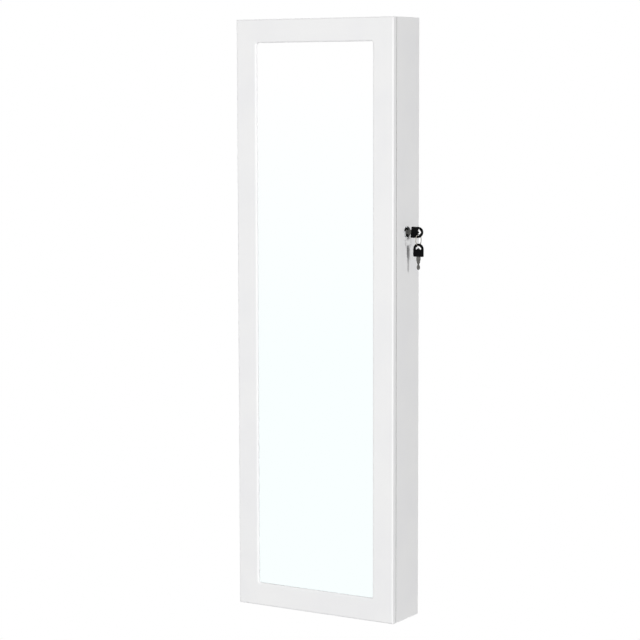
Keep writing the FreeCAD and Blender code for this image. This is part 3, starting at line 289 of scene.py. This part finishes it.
# Bright chrome on die-cast zinc, polished: a hard, cool mirror with faint smears that blur it here and there.
chromeLook = dict(colour="#c6c8ca", roughFrom=0.05, roughTo=0.15, smearMm=4, smearFrom=0.45, smearTo=0.75,
                  edgeMm=0.15)
brightChrome, tree, shader, place = newMaterial("chromePolishedZinc")
look = chromeLook
smears = addNode(tree, "TexNoise",
                 values={"Scale": perMetre(look["smearMm"]), "Detail": 4.0, "Distortion": 1.2},
                 links={"Vector": place})
gloss = addNode(tree, "MapRange",
                values={"From Min": look["smearFrom"], "From Max": look["smearTo"],
                        "To Min": look["roughFrom"], "To Max": look["roughTo"]},
                links={"Value": smears.outputs["Fac"]})
edge = addNode(tree, "Bevel", {"samples": 4}, {"Radius": look["edgeMm"] * mm})
shader.inputs["Base Color"].default_value = linear(look["colour"])
shader.inputs["Metallic"].default_value = 1.0
tree.links.new(gloss.outputs["Result"], shader.inputs["Roughness"])
tree.links.new(edge.outputs["Normal"], shader.inputs["Normal"])

# ABS, injection moulded and spark-eroded: near black with a fine grain that breaks up a low gloss.
keyPlasticLook = dict(colour="#020203", worn="#060607", roughFrom=0.34, roughTo=0.5, ior=1.53, specular=0.07,
                      wornMm=7, grainMm=0.3, reliefStrength=0.5, reliefMm=0.02, edgeMm=0.3)
keyPlastic, tree, shader, place = newMaterial("blackAbsMoulded")
look = keyPlasticLook
grain = addNode(tree, "TexVoronoi", values={"Scale": perMetre(look["grainMm"])}, links={"Vector": place})
rubbed = addNode(tree, "TexNoise", values={"Scale": perMetre(look["wornMm"]), "Detail": 3.0},
                 links={"Vector": place})
tone = addNode(tree, "Mix", {"data_type": "RGBA"}, {"A": linear(look["colour"]), "B": linear(look["worn"])},
               {"Factor": rubbed.outputs["Fac"]})
gloss = addNode(tree, "MapRange", values={"To Min": look["roughFrom"], "To Max": look["roughTo"]},
                links={"Value": rubbed.outputs["Fac"]})
edge = addNode(tree, "Bevel", {"samples": 4}, {"Radius": look["edgeMm"] * mm})
relief = addNode(tree, "Bump", values={"Strength": look["reliefStrength"], "Distance": look["reliefMm"] * mm},
                 links={"Height": grain.outputs["Distance"], "Normal": edge.outputs["Normal"]})
shader.inputs["IOR"].default_value = look["ior"]
shader.inputs["Specular IOR Level"].default_value = look["specular"]
tree.links.new(tone.outputs["Result"], shader.inputs["Base Color"])
tree.links.new(gloss.outputs["Result"], shader.inputs["Roughness"])
tree.links.new(relief.outputs["Normal"], shader.inputs["Normal"])

# Nylon, moulded white: slightly warm, with a soft low gloss that follows the flow of the plastic.
nylonLook = dict(colour="#ecebe6", roughFrom=0.37, roughTo=0.5, ior=1.53, flowMm=5, edgeMm=0.4)
whiteNylon, tree, shader, place = newMaterial("whiteNylonMoulded")
look = nylonLook
flow = addNode(tree, "TexNoise", values={"Scale": perMetre(look["flowMm"]), "Detail": 2.0},
               links={"Vector": place})
gloss = addNode(tree, "MapRange", values={"To Min": look["roughFrom"], "To Max": look["roughTo"]},
                links={"Value": flow.outputs["Fac"]})
edge = addNode(tree, "Bevel", {"samples": 4}, {"Radius": look["edgeMm"] * mm})
shader.inputs["Base Color"].default_value = linear(look["colour"])
shader.inputs["IOR"].default_value = look["ior"]
tree.links.new(gloss.outputs["Result"], shader.inputs["Roughness"])
tree.links.new(edge.outputs["Normal"], shader.inputs["Normal"])

# Polyurethane gel button, cast clear: see-through and slightly milky, with a rubbery soft gloss.
gelLook = dict(colour="#eef3f4", roughFrom=0.1, roughTo=0.28, ior=1.49, transmission=0.85, dustMm=1.4)
clearGel, tree, shader, place = newMaterial("clearPolyurethaneCast")
look = gelLook
dust = addNode(tree, "TexNoise", values={"Scale": perMetre(look["dustMm"]), "Detail": 3.0},
               links={"Vector": place})
gloss = addNode(tree, "MapRange", values={"To Min": look["roughFrom"], "To Max": look["roughTo"]},
                links={"Value": dust.outputs["Fac"]})
shader.inputs["Base Color"].default_value = linear(look["colour"])
shader.inputs["IOR"].default_value = look["ior"]
shader.inputs["Transmission Weight"].default_value = look["transmission"]
tree.links.new(gloss.outputs["Result"], shader.inputs["Roughness"])

# Silvered float glass: a sharp mirror with the cold green-blue cast of soda-lime glass, coloured clearer
# towards its top and more tinted towards its foot as a painted reflection, a breath of haze and the very slow
# waviness of the sheet.
mirrorLook = dict(colour="#f9ffff", clear="#ffffff", paintedFadeFromMm=520, paintedFadeToMm=1090, roughFrom=0.012,
                  roughTo=0.022, hazeMm=60, hazeFrom=0.5, hazeTo=0.8, waveMm=240, reliefStrength=0.3,
                  reliefMm=0.004, coat=0.35, coatIor=1.52)
silveredGlass, tree, shader, place = newMaterial("silveredFloatGlass")
look = mirrorLook
# painted reflection: the tint fades to clear white with height
height = addNode(tree, "SeparateXYZ", links={"Vector": place})
paintedReflectionFade = addNode(tree, "MapRange",
               values={"From Min": look["paintedFadeFromMm"] * mm, "From Max": look["paintedFadeToMm"] * mm},
               links={"Value": height.outputs["Z"]})
tone = addNode(tree, "Mix", {"data_type": "RGBA"}, {"A": linear(look["colour"]), "B": linear(look["clear"])},
               {"Factor": paintedReflectionFade.outputs["Result"]})
haze = addNode(tree, "TexNoise", values={"Scale": perMetre(look["hazeMm"]), "Detail": 3.0},
               links={"Vector": place})
gloss = addNode(tree, "MapRange",
                values={"From Min": look["hazeFrom"], "From Max": look["hazeTo"],
                        "To Min": look["roughFrom"], "To Max": look["roughTo"]},
                links={"Value": haze.outputs["Fac"]})
waves = addNode(tree, "TexNoise", values={"Scale": perMetre(look["waveMm"]), "Detail": 0.0},
                links={"Vector": place})
relief = addNode(tree, "Bump", values={"Strength": look["reliefStrength"], "Distance": look["reliefMm"] * mm},
                 links={"Height": waves.outputs["Fac"]})
shader.inputs["Metallic"].default_value = 1.0
shader.inputs["Coat Weight"].default_value = look["coat"]
shader.inputs["Coat Roughness"].default_value = 0.0
shader.inputs["Coat IOR"].default_value = look["coatIor"]
tree.links.new(tone.outputs["Result"], shader.inputs["Base Color"])
tree.links.new(gloss.outputs["Result"], shader.inputs["Roughness"])
tree.links.new(relief.outputs["Normal"], shader.inputs["Normal"])

# Grey board, pressed from waste paper: matt, with flecks of fibre.
greyBoardLook = dict(colour="#8d8e90", fleck="#7b7b7c", roughness=0.85, fleckMm=1.6, reliefStrength=0.3,
                     reliefMm=0.05)
greyBoard, tree, shader, place = newMaterial("greyBoardPressed")
look = greyBoardLook
flecks = addNode(tree, "TexNoise", values={"Scale": perMetre(look["fleckMm"]), "Detail": 4.0},
                 links={"Vector": place})
tone = addNode(tree, "Mix", {"data_type": "RGBA"}, {"A": linear(look["colour"]), "B": linear(look["fleck"])},
               {"Factor": flecks.outputs["Fac"]})
relief = addNode(tree, "Bump", values={"Strength": look["reliefStrength"], "Distance": look["reliefMm"] * mm},
                 links={"Height": flecks.outputs["Fac"]})
shader.inputs["Roughness"].default_value = look["roughness"]
tree.links.new(tone.outputs["Result"], shader.inputs["Base Color"])
tree.links.new(relief.outputs["Normal"], shader.inputs["Normal"])

finishes = {
    "white_lacquer": whiteLacquer, "white_hardboard": whiteHardboard, "black_velvet": blackVelvet,
    "beech_dowel": turnedBeech, "nickel_steel": nickelUpright, "chrome_lock": brightChrome,
    "black_key_plastic": keyPlastic, "white_catch_plastic": whiteNylon, "clear_bumper": clearGel,
    "mirror_silver": silveredGlass, "grey_board": greyBoard,
}
for row in frame["record"]["subparts"]:
    node = frame["nodes"][row["node"]]
    node.data.materials.clear()
    node.data.materials.append(finishes[row["material_slot"]])
for name in ("shelf_guard_rods", "bracelet_rod", "door_rack_rod", "strike_pin"):
    frame["nodes"][name].data.materials[0] = nickelBar  # these run from side to side
print("materials:", len(finishes))


# The foam rolls of the ring tray, covered in velvet: crowned in front, drawn in at the ends. The powers shape
# a roll's outline, rounder in front and squarer behind. The velvet sags in soft waves, counted for each metre
# along and into a roll, and the roll is thinner where it sags.
ringRoll = dict(count=7, gapMm=0.7, endRoundMm=4.0, endSize=0.62, endCrowding=0.35, frontPower=0.85,
                backPower=0.28, backHeightPower=0.62, sagMm=0.25, sagWavesAlong=30, sagWavesIn=60,
                sagStepPerRoll=5.1, pinchPerMetre=40, sections=64, around=28)


def rollSection(halfHeight, depth):
    # (depth in from the front, height) points of one roll's outline, starting at the middle of its front
    outline = []
    for i in range(ringRoll["around"]):
        turn = 2 * math.pi * i / ringRoll["around"]
        c, s = math.cos(turn), math.sin(turn)
        depthPower = ringRoll["frontPower"] if c > 0 else ringRoll["backPower"]
        heightPower = ringRoll["frontPower"] if c > 0 else ringRoll["backHeightPower"]
        forward = math.copysign(abs(c) ** depthPower, c)
        upward = math.copysign(abs(s) ** heightPower, s)
        outline.append(((1 - forward) * depth / 2, upward * halfHeight))
    return outline


low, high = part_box("ring_rolls")
depth = high.y - low.y
pitch = (high.z - low.z + ringRoll["gapMm"] * mm) / ringRoll["count"]
halfHeight = (pitch - ringRoll["gapMm"] * mm) / 2
halfLength = (high.x - low.x) / 2
outline = rollSection(halfHeight, depth)
crowding = ringRoll["endCrowding"]
rolls = []
for number in range(ringRoll["count"]):
    middle = low.z + halfHeight + number * pitch
    points = []
    for station in range(ringRoll["sections"] + 1):
        t = station / ringRoll["sections"]
        x = -halfLength * math.cos(math.pi * t) * crowding + (2 * t - 1) * halfLength * (1 - crowding)
        fromEnd = min(1.0, (halfLength - abs(x)) / (ringRoll["endRoundMm"] * mm))
        roundness = math.sqrt(max(0.0, 1 - (1 - fromEnd) ** 2))
        grow = ringRoll["endSize"] + (1 - ringRoll["endSize"]) * roundness
        for inward, height in outline:
            wave = Vector((x * ringRoll["sagWavesAlong"], number * ringRoll["sagStepPerRoll"],
                           inward * ringRoll["sagWavesIn"]))
            sag = abs(noise.noise(wave)) * ringRoll["sagMm"] * mm
            y = low.y + depth / 2 + (inward - depth / 2) * grow
            if inward < depth / 2:
                y += sag
            points.append((x, y, middle + height * grow * (1 - sag * ringRoll["pinchPerMetre"])))
    rolls.append((points, tubeFaces(ringRoll["sections"] + 1, ringRoll["around"])))
points, faces = joinMeshes(rolls)
ringRolls = meshPiece("ringRollCushions", points, faces, "case", blackVelvet)
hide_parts("ring_rolls")
print("ring rolls:", len(rolls))

# Flat pads: velvet turned round the edge of a thin board or foam sheet. A pad's face is a grid that falls
# away to a rolled edge, with a pressed line a little way in where one is named.
shelfMat = dict(edgeMm=0.9, crownMm=0.35, lineAtMm=6.0, lineDepthMm=0.45, lineWidthMm=1.0, stepMm=5.0)
backPad = dict(edgeMm=1.6, crownMm=0.0, lineAtMm=0.0, lineDepthMm=0.0, lineWidthMm=1.0, stepMm=9.0)
doorPad = dict(edgeMm=1.2, crownMm=0.0, lineAtMm=0.0, lineDepthMm=0.0, lineWidthMm=1.0, stepMm=9.0)
# What all pads share: where the grid's lines stand in edge widths, how much of its depth the edge loses, how
# far in the crown reaches, and how uneven the face is.
padCover = dict(edgeSteps=(0.0, 0.12, 0.35, 0.65, 1.0, 1.8), edgeDrop=0.85, crownReachMm=25, unevenMm=0.08,
                unevenWaves=22)
toRight, toBack, toTop = Vector((1, 0, 0)), Vector((0, 1, 0)), Vector((0, 0, 1))


def padSteps(length, pad):
    # places across one direction: fine near the edges and at the pressed line, even between
    line, width = pad["lineAtMm"] * mm, pad["lineWidthMm"] * mm
    near = [pad["edgeMm"] * mm * step for step in padCover["edgeSteps"]]
    if line:
        near += [line - width, line - width / 2, line, line + width / 2, line + width]
    count = max(2, int((length - 2 * near[-1]) / (pad["stepMm"] * mm)))
    even = [near[-1] + (length - 2 * near[-1]) * i / count for i in range(1, count)]
    return near + even + [length - v for v in reversed(near)]


def padMesh(corner, right, up, out, width, height, thickness, pad):
    # a closed pad from its back corner: right and up span it, out points away from what carries it
    across, rise = padSteps(width, pad), padSteps(height, pad)
    edge = pad["edgeMm"] * mm
    line, lineHalf = pad["lineAtMm"] * mm, pad["lineWidthMm"] * mm / 2
    waves = padCover["unevenWaves"]
    front, back = [], []
    for v in rise:
        for u in across:
            reach = min(u, width - u, v, height - v)
            share = min(1.0, reach / edge)
            fall = 1 - math.sqrt(max(0.0, 1 - (1 - share) ** 2))
            level = thickness - min(edge, thickness) * padCover["edgeDrop"] * fall
            level -= pad["crownMm"] * mm * (1 - min(1.0, reach / (padCover["crownReachMm"] * mm))) ** 2
            if line:
                level -= pad["lineDepthMm"] * mm * math.exp(-((reach - line) / lineHalf) ** 2)
            uneven = abs(noise.noise(Vector((u * waves, v * waves, width))))
            level -= uneven * padCover["unevenMm"] * mm * share
            front.append(corner + right * u + up * v + out * level)
            back.append(corner + right * u + up * v)
    columns, rows = len(across), len(rise)
    faces = []
    for r in range(rows - 1):
        for c in range(columns - 1):
            a = r * columns + c
            b = a + rows * columns
            faces.append([a, a + 1, a + 1 + columns, a + columns])
            faces.append([b, b + columns, b + 1 + columns, b + 1])
    rim = list(range(columns)) + [r * columns + columns - 1 for r in range(1, rows)]
    rim += [(rows - 1) * columns + c for c in range(columns - 2, -1, -1)]
    rim += [r * columns for r in range(rows - 2, 0, -1)]
    for i, a in enumerate(rim):
        b = rim[(i + 1) % len(rim)]
        faces.append([a, a + rows * columns, b + rows * columns, b])
    return front + back, faces


matLow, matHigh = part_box("shelf_mats")
matSize = matHigh - matLow
matThickness = matHigh.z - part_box("shelf_upper")[1].z
mats = []
for shelf in ("shelf_lower", "shelf_middle", "shelf_upper"):
    corner = Vector((matLow.x, matLow.y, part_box(shelf)[1].z))
    mats.append(padMesh(corner, toRight, toBack, toTop, matSize.x, matSize.y, matThickness, shelfMat))
points, faces = joinMeshes(mats)
shelfMats = meshPiece("shelfVelvetMats", points, faces, "case", blackVelvet)
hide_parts("shelf_mats")

low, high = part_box("back_lining")
size = high - low
corner = Vector((high.x, high.y, low.z))
points, faces = padMesh(corner, -toRight, toTop, -toBack, size.x, size.z, size.y, backPad)
backLining = meshPiece("caseBackVelvetBoard", points, faces, "case", blackVelvet)
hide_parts("back_lining")

low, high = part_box("door_lining")
size = high - low
points, faces = padMesh(low, toRight, toTop, toBack, size.x, size.z, size.y, doorPad)
doorLining = meshPiece("doorVelvetBoard", points, faces, "door", blackVelvet)
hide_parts("door_lining")
print("velvet mats and boards:", len(mats) + 2)


# The two steel pole plates of the magnet catch. They stand a hair proud of the plastic that holds them.
polePlates = dict(insetsMm=(4.9, 10.5), thickMm=1.6, longMm=25.76, deepMm=1.2, proudMm=0.06, breakMm=0.2,
                  midHeightMm=430)
low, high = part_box("magnet_catch")
proud, broken = polePlates["proudMm"] * mm, polePlates["breakMm"] * mm
wide = polePlates["thickMm"] * mm + 2 * proud
half = polePlates["longMm"] * mm / 2 + proud
middle = polePlates["midHeightMm"] * mm
plates = []
for inset in polePlates["insetsMm"]:
    left = high.x - inset * mm - proud
    points = []
    for y, drawnIn in ((low.y + polePlates["deepMm"] * mm, 0.0), (low.y + broken - proud, 0.0),
                       (low.y - proud, broken)):
        points += [Vector((left + drawnIn, y, middle - half + drawnIn)),
                   Vector((left + wide - drawnIn, y, middle - half + drawnIn)),
                   Vector((left + wide - drawnIn, y, middle + half - drawnIn)),
                   Vector((left + drawnIn, y, middle + half - drawnIn))]
    plates.append((points, tubeFaces(3, 4)))
points, faces = joinMeshes(plates)
meshPiece("catchPolePlates", points, faces, "case", nickelUpright, smooth=False)
print("pole plates:", len(plates))


# A split ring: two turns of flat spring wire side by side, which cross over between the wire's two ends.
splitRing = dict(wireAcrossMm=0.64, wireTallMm=1.1, cornerMm=0.18, insideRimMm=0.05, sideStepMm=0.36,
                 crossDeg=16, endGapDeg=18, turnedDeg=205, stations=200)


def flatWire(across, tall, corner):
    # the wire's section with softened corners, as (sideways, outward) offsets
    a, b = across / 2 - corner, tall / 2 - corner
    section = []
    for cx, cy, start in ((a, b, 0), (-a, b, 90), (-a, -b, 180), (a, -b, 270)):
        for step in (0, 45, 90):
            turn = math.radians(start + step)
            section.append((cx + corner * math.cos(turn), cy + corner * math.sin(turn)))
    return section


low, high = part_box("key_ring")
centre = (low + high) / 2
middleRadius = (high.z - low.z) / 2 - splitRing["wireTallMm"] * mm / 2 - splitRing["insideRimMm"] * mm
section = flatWire(splitRing["wireAcrossMm"] * mm, splitRing["wireTallMm"] * mm, splitRing["cornerMm"] * mm)
points = []
for station in range(splitRing["stations"] + 1):
    t = station / splitRing["stations"]
    travel = splitRing["endGapDeg"] + t * (720 - 2 * splitRing["endGapDeg"])
    swing = max(-1.0, min(1.0, (travel - 360) / splitRing["crossDeg"]))
    side = splitRing["sideStepMm"] * mm * math.sin(math.pi / 2 * swing)
    turn = math.radians(travel + splitRing["turnedDeg"])
    outward = Vector((0, math.sin(turn), math.cos(turn)))
    for sideways, out in section:
        points.append(centre + Vector((side + sideways, 0, 0)) + outward * (middleRadius + out))
faces = tubeFaces(splitRing["stations"] + 1, len(section))
keyRing = meshPiece("splitKeyRing", points, faces, "key_ring", nickelUpright)
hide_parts("key_ring")

# A key's blade: (distance from the bow, half width) stations in millimetres. The edges are broken, and a
# groove is milled along each flat where the blade leaves it enough land.
keyBlade = dict(
    stations=[(0, 4.3), (0.5, 4.5), (6.9, 4.5), (7.4, 4.1), (7.6, 3.5), (11, 3.5), (13, 2.3), (15, 1.6),
              (16.2, 1.75), (17.8, 2.5), (19.5, 3.15), (21.5, 3.35), (23.4, 3.0), (24.8, 2.25), (25.6, 1.3),
              (25.95, 0.5)],
    stepsBetween=3, thickMm=2.0, breakMm=0.25, breakShare=0.4, grooveWidthMm=1.1, grooveDepthMm=0.35,
    grooveSlopeMm=0.2, grooveLandMm=0.5, grooveFromMm=8.4, grooveToMm=24.2, inLockDeg=-12, hangingDeg=-90)


def bladeMesh(blade):
    # the blade lies along -X from the bow's base, its flats facing -Y and +Y
    stations = []
    for (x0, w0), (x1, w1) in zip(blade["stations"], blade["stations"][1:]):
        for i in range(blade["stepsBetween"]):
            t = i / blade["stepsBetween"]
            stations.append((x0 + (x1 - x0) * t, w0 + (w1 - w0) * t))
    stations.append(blade["stations"][-1])
    half, slope = blade["thickMm"] / 2, blade["grooveSlopeMm"]
    points = []
    for x, w in stations:
        edge = min(blade["breakMm"], w * blade["breakShare"])
        groove = blade["grooveWidthMm"] / 2
        isGrooved = blade["grooveFromMm"] < x < blade["grooveToMm"] and w > groove + blade["grooveLandMm"]
        deep = blade["grooveDepthMm"] if isGrooved else 0.0
        groove = min(groove, w / 2)
        flat = [(-w, -half + edge), (-w + edge, -half), (-groove - slope, -half), (-groove, -half + deep),
                (groove, -half + deep), (groove + slope, -half), (w - edge, -half), (w, -half + edge)]
        ring = flat + [(z, -y) for z, y in reversed(flat)]
        points += [Vector((-x * mm, y * mm, z * mm)) for z, y in ring]
    return points, tubeFaces(len(stations), len(ring))


bladePoints, faces = bladeMesh(keyBlade)
plugLow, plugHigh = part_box("lock_plug")
plugMiddle = (plugLow + plugHigh) / 2
inLockTurn = Matrix.Rotation(math.radians(keyBlade["inLockDeg"]), 4, "X")
inLockBase = Vector((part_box("key_bow")[0].x, plugMiddle.y, plugMiddle.z))
points = [inLockTurn @ p + inLockBase for p in bladePoints]
bladeInLock = meshPiece("keyBladeInLock", points, faces, "key", bladeInLockMetal,
                        smooth=False)
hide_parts("key_blade")

bowLow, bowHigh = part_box("spare_key_bow")
bowMiddle = (bowLow + bowHigh) / 2
hangingTurn = Matrix.Rotation(math.radians(keyBlade["hangingDeg"]), 4, "Y")
hangingBase = Vector((bowMiddle.x, bowMiddle.y, bowLow.z))
points = [hangingTurn @ p + hangingBase for p in bladePoints]
bladeHanging = meshPiece("spareKeyBlade", points, faces, "spare_key", bladeHangingMetal,
                         smooth=False)
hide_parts("spare_key_blade")
print("keys: two blades and a split ring")


def seenDirectly(tree):
    # 1 for what the camera sees, straight, mirrored or through the gel, and 0 for the light on a surface
    rays = addNode(tree, "LightPath").outputs
    straightOrMirrored = addNode(tree, "Math", {"operation": "MAXIMUM"},
                                 links={0: rays["Is Camera Ray"], 1: rays["Is Glossy Ray"]})
    seen = addNode(tree, "Math", {"operation": "MAXIMUM"},
                   links={0: straightOrMirrored.outputs["Value"], 1: rays["Is Transmission Ray"]})
    return seen.outputs["Value"]


# A round pale floor under the wall-hung cabinet; it fades into the white behind everything.
floorLook = dict(colour="#b8b8b8", roughness=0.8, dropM=0.6, radiusM=2.4, fadeFromM=0.6, fadeToM=2.2,
                 paleness=0.72, rimStepDeg=5)
studioFloor, tree, shader, place = newMaterial("paleFloorPaint")
look = floorLook
shader.inputs["Base Color"].default_value = linear(look["colour"])
shader.inputs["Roughness"].default_value = look["roughness"]
distance = addNode(tree, "VectorMath", {"operation": "LENGTH"}, links={0: place})
fade = addNode(tree, "MapRange", {"interpolation_type": "SMOOTHSTEP"},
               {"From Min": look["fadeFromM"], "From Max": look["fadeToM"], "To Min": look["paleness"]},
               {"Value": distance.outputs["Value"]})
glow = addNode(tree, "Emission", values={"Color": (1, 1, 1, 1), "Strength": 1.0})
share = addNode(tree, "Math", {"operation": "MULTIPLY"},
                links={0: fade.outputs["Result"], 1: seenDirectly(tree)})
blend = addNode(tree, "MixShader",
                links={0: share.outputs["Value"], 1: shader.outputs["BSDF"], 2: glow.outputs["Emission"]})
tree.links.new(blend.outputs["Shader"], tree.nodes["Material Output"].inputs["Surface"])
rim = []
for angle in range(0, 360, look["rimStepDeg"]):
    turn = math.radians(angle)
    rim.append((look["radiusM"] * math.cos(turn), look["radiusM"] * math.sin(turn), 0))
mesh = bpy.data.meshes.new("studioFloor")
mesh.from_pydata(rim, [], [list(range(len(rim)))])
mesh.materials.append(studioFloor)
floor = bpy.data.objects.new("studioFloor", mesh)
floor.location = (0, 0, -look["dropM"])
scene.collection.objects.link(floor)

# White all round for the camera and for what metal and glass mirror; the object is lit by a share of it.
ambientStrength = 0.155
world = bpy.data.worlds.new("whiteStudio")
world.use_nodes = True
scene.world = world
tree = world.node_tree
for node in list(tree.nodes):
    tree.nodes.remove(node)
lighting = addNode(tree, "Background", values={"Color": (1, 1, 1, 1), "Strength": ambientStrength})
white = addNode(tree, "Background", values={"Color": (1, 1, 1, 1), "Strength": 1.0})
blend = addNode(tree, "MixShader", links={0: seenDirectly(tree), 1: lighting.outputs["Background"],
                                          2: white.outputs["Background"]})
addNode(tree, "OutputWorld", links={"Surface": blend.outputs["Shader"]})

# Lamps: where each stands from lampAim, in degrees from straight in front towards the lock's side and up, how
# far off and how wide it is, and the share of a white level that it gives a surface facing it.
lamps = dict(
    rightLamp=dict(aroundDeg=74, upDeg=11, farM=6.0, wideM=1.5, level=0.65),
    frontSoftbox=dict(aroundDeg=-10, upDeg=9, farM=5.0, wideM=2.4, level=0.62),
    backFill=dict(aroundDeg=230, upDeg=44, farM=4.0, wideM=2.0, level=0.75),
)
lampAim = Vector((0.1, 0, 0.62))
for name, lamp in lamps.items():
    around, up = math.radians(lamp["aroundDeg"]), math.radians(lamp["upDeg"])
    toLamp = Vector((math.sin(around) * math.cos(up), -math.cos(around) * math.cos(up), math.sin(up)))
    light = bpy.data.lights.new(name, "AREA")
    light.shape = "DISK"
    light.size = lamp["wideM"]
    light.energy = lamp["level"] * math.pi ** 2 * lamp["farM"] ** 2  # watts that give a white card its level
    holder = bpy.data.objects.new(name, light)
    holder.location = lampAim + toLamp * lamp["farM"]
    holder.rotation_euler = (-toLamp).to_track_quat("-Z", "Y").to_euler()
    holder.visible_glossy = False
    scene.collection.objects.link(holder)

# Two black cards that only reflections see, one behind and one over the lock's side: they put the dark lines
# into chrome and steel.
cardLook = dict(colour="#0c0c0c", fibre="#161616", fibreMm=300)
blackCards = dict(
    behindCard=dict(place=(0.6, 2.6, 0.7), facing=(0, -1, 0), wideM=5.0, tallM=3.4),
    overheadCard=dict(place=(2.4, 0.0, 2.3), facing=(-0.85, 0, -0.53), wideM=2.8, tallM=2.2),
)
cardPaper, tree, shader, place = newMaterial("blackCardPaper")
look = cardLook
fibres = addNode(tree, "TexNoise", values={"Scale": perMetre(look["fibreMm"]), "Detail": 2.0},
                 links={"Vector": place})
tone = addNode(tree, "Mix", {"data_type": "RGBA"}, {"A": linear(look["colour"]), "B": linear(look["fibre"])},
               {"Factor": fibres.outputs["Fac"]})
shader.inputs["Roughness"].default_value = 1.0
shader.inputs["Specular IOR Level"].default_value = 0.0
tree.links.new(tone.outputs["Result"], shader.inputs["Base Color"])
for name, size in blackCards.items():
    half, tall = size["wideM"] / 2, size["tallM"] / 2
    corners = [(-half, -tall, 0), (half, -tall, 0), (half, tall, 0), (-half, tall, 0)]
    mesh = bpy.data.meshes.new(name)
    mesh.from_pydata(corners, [], [[0, 1, 2, 3]])
    mesh.materials.append(cardPaper)
    card = bpy.data.objects.new(name, mesh)
    card.location = size["place"]
    card.rotation_euler = Vector(size["facing"]).to_track_quat("Z", "Y").to_euler()
    card.visible_camera = card.visible_diffuse = card.visible_shadow = card.visible_transmission = False
    scene.collection.objects.link(card)

# The camera stands where the photograph's did.
cameraView = dict(place=(2.2122, -3.6641, 1.0576), yawDeg=-31.366, downDeg=5.75, rollDeg=-0.119,
                  lensMm=119.32, sensorMm=36.0, shiftUp=-0.025)
yaw, down, roll = (math.radians(cameraView[k]) for k in ("yawDeg", "downDeg", "rollDeg"))
forward = Vector((math.sin(yaw) * math.cos(down), math.cos(yaw) * math.cos(down), -math.sin(down)))
right = Vector((math.cos(yaw), -math.sin(yaw), 0))
above = right.cross(forward)
rolledRight = right * math.cos(roll) + above * math.sin(roll)
rolledUp = above * math.cos(roll) - right * math.sin(roll)
lens = bpy.data.cameras.new("photoCamera")
lens.lens = cameraView["lensMm"]
lens.sensor_width = cameraView["sensorMm"]
lens.shift_y = cameraView["shiftUp"]
camera = bpy.data.objects.new("photoCamera", lens)
turned = Matrix((rolledRight, rolledUp, -forward)).transposed().to_4x4()
camera.matrix_world = Matrix.Translation(Vector(cameraView["place"])) @ turned
scene.collection.objects.link(camera)
scene.camera = camera
scene.view_settings.view_transform = "Standard"
print("studio: floor, world, lamps and camera")
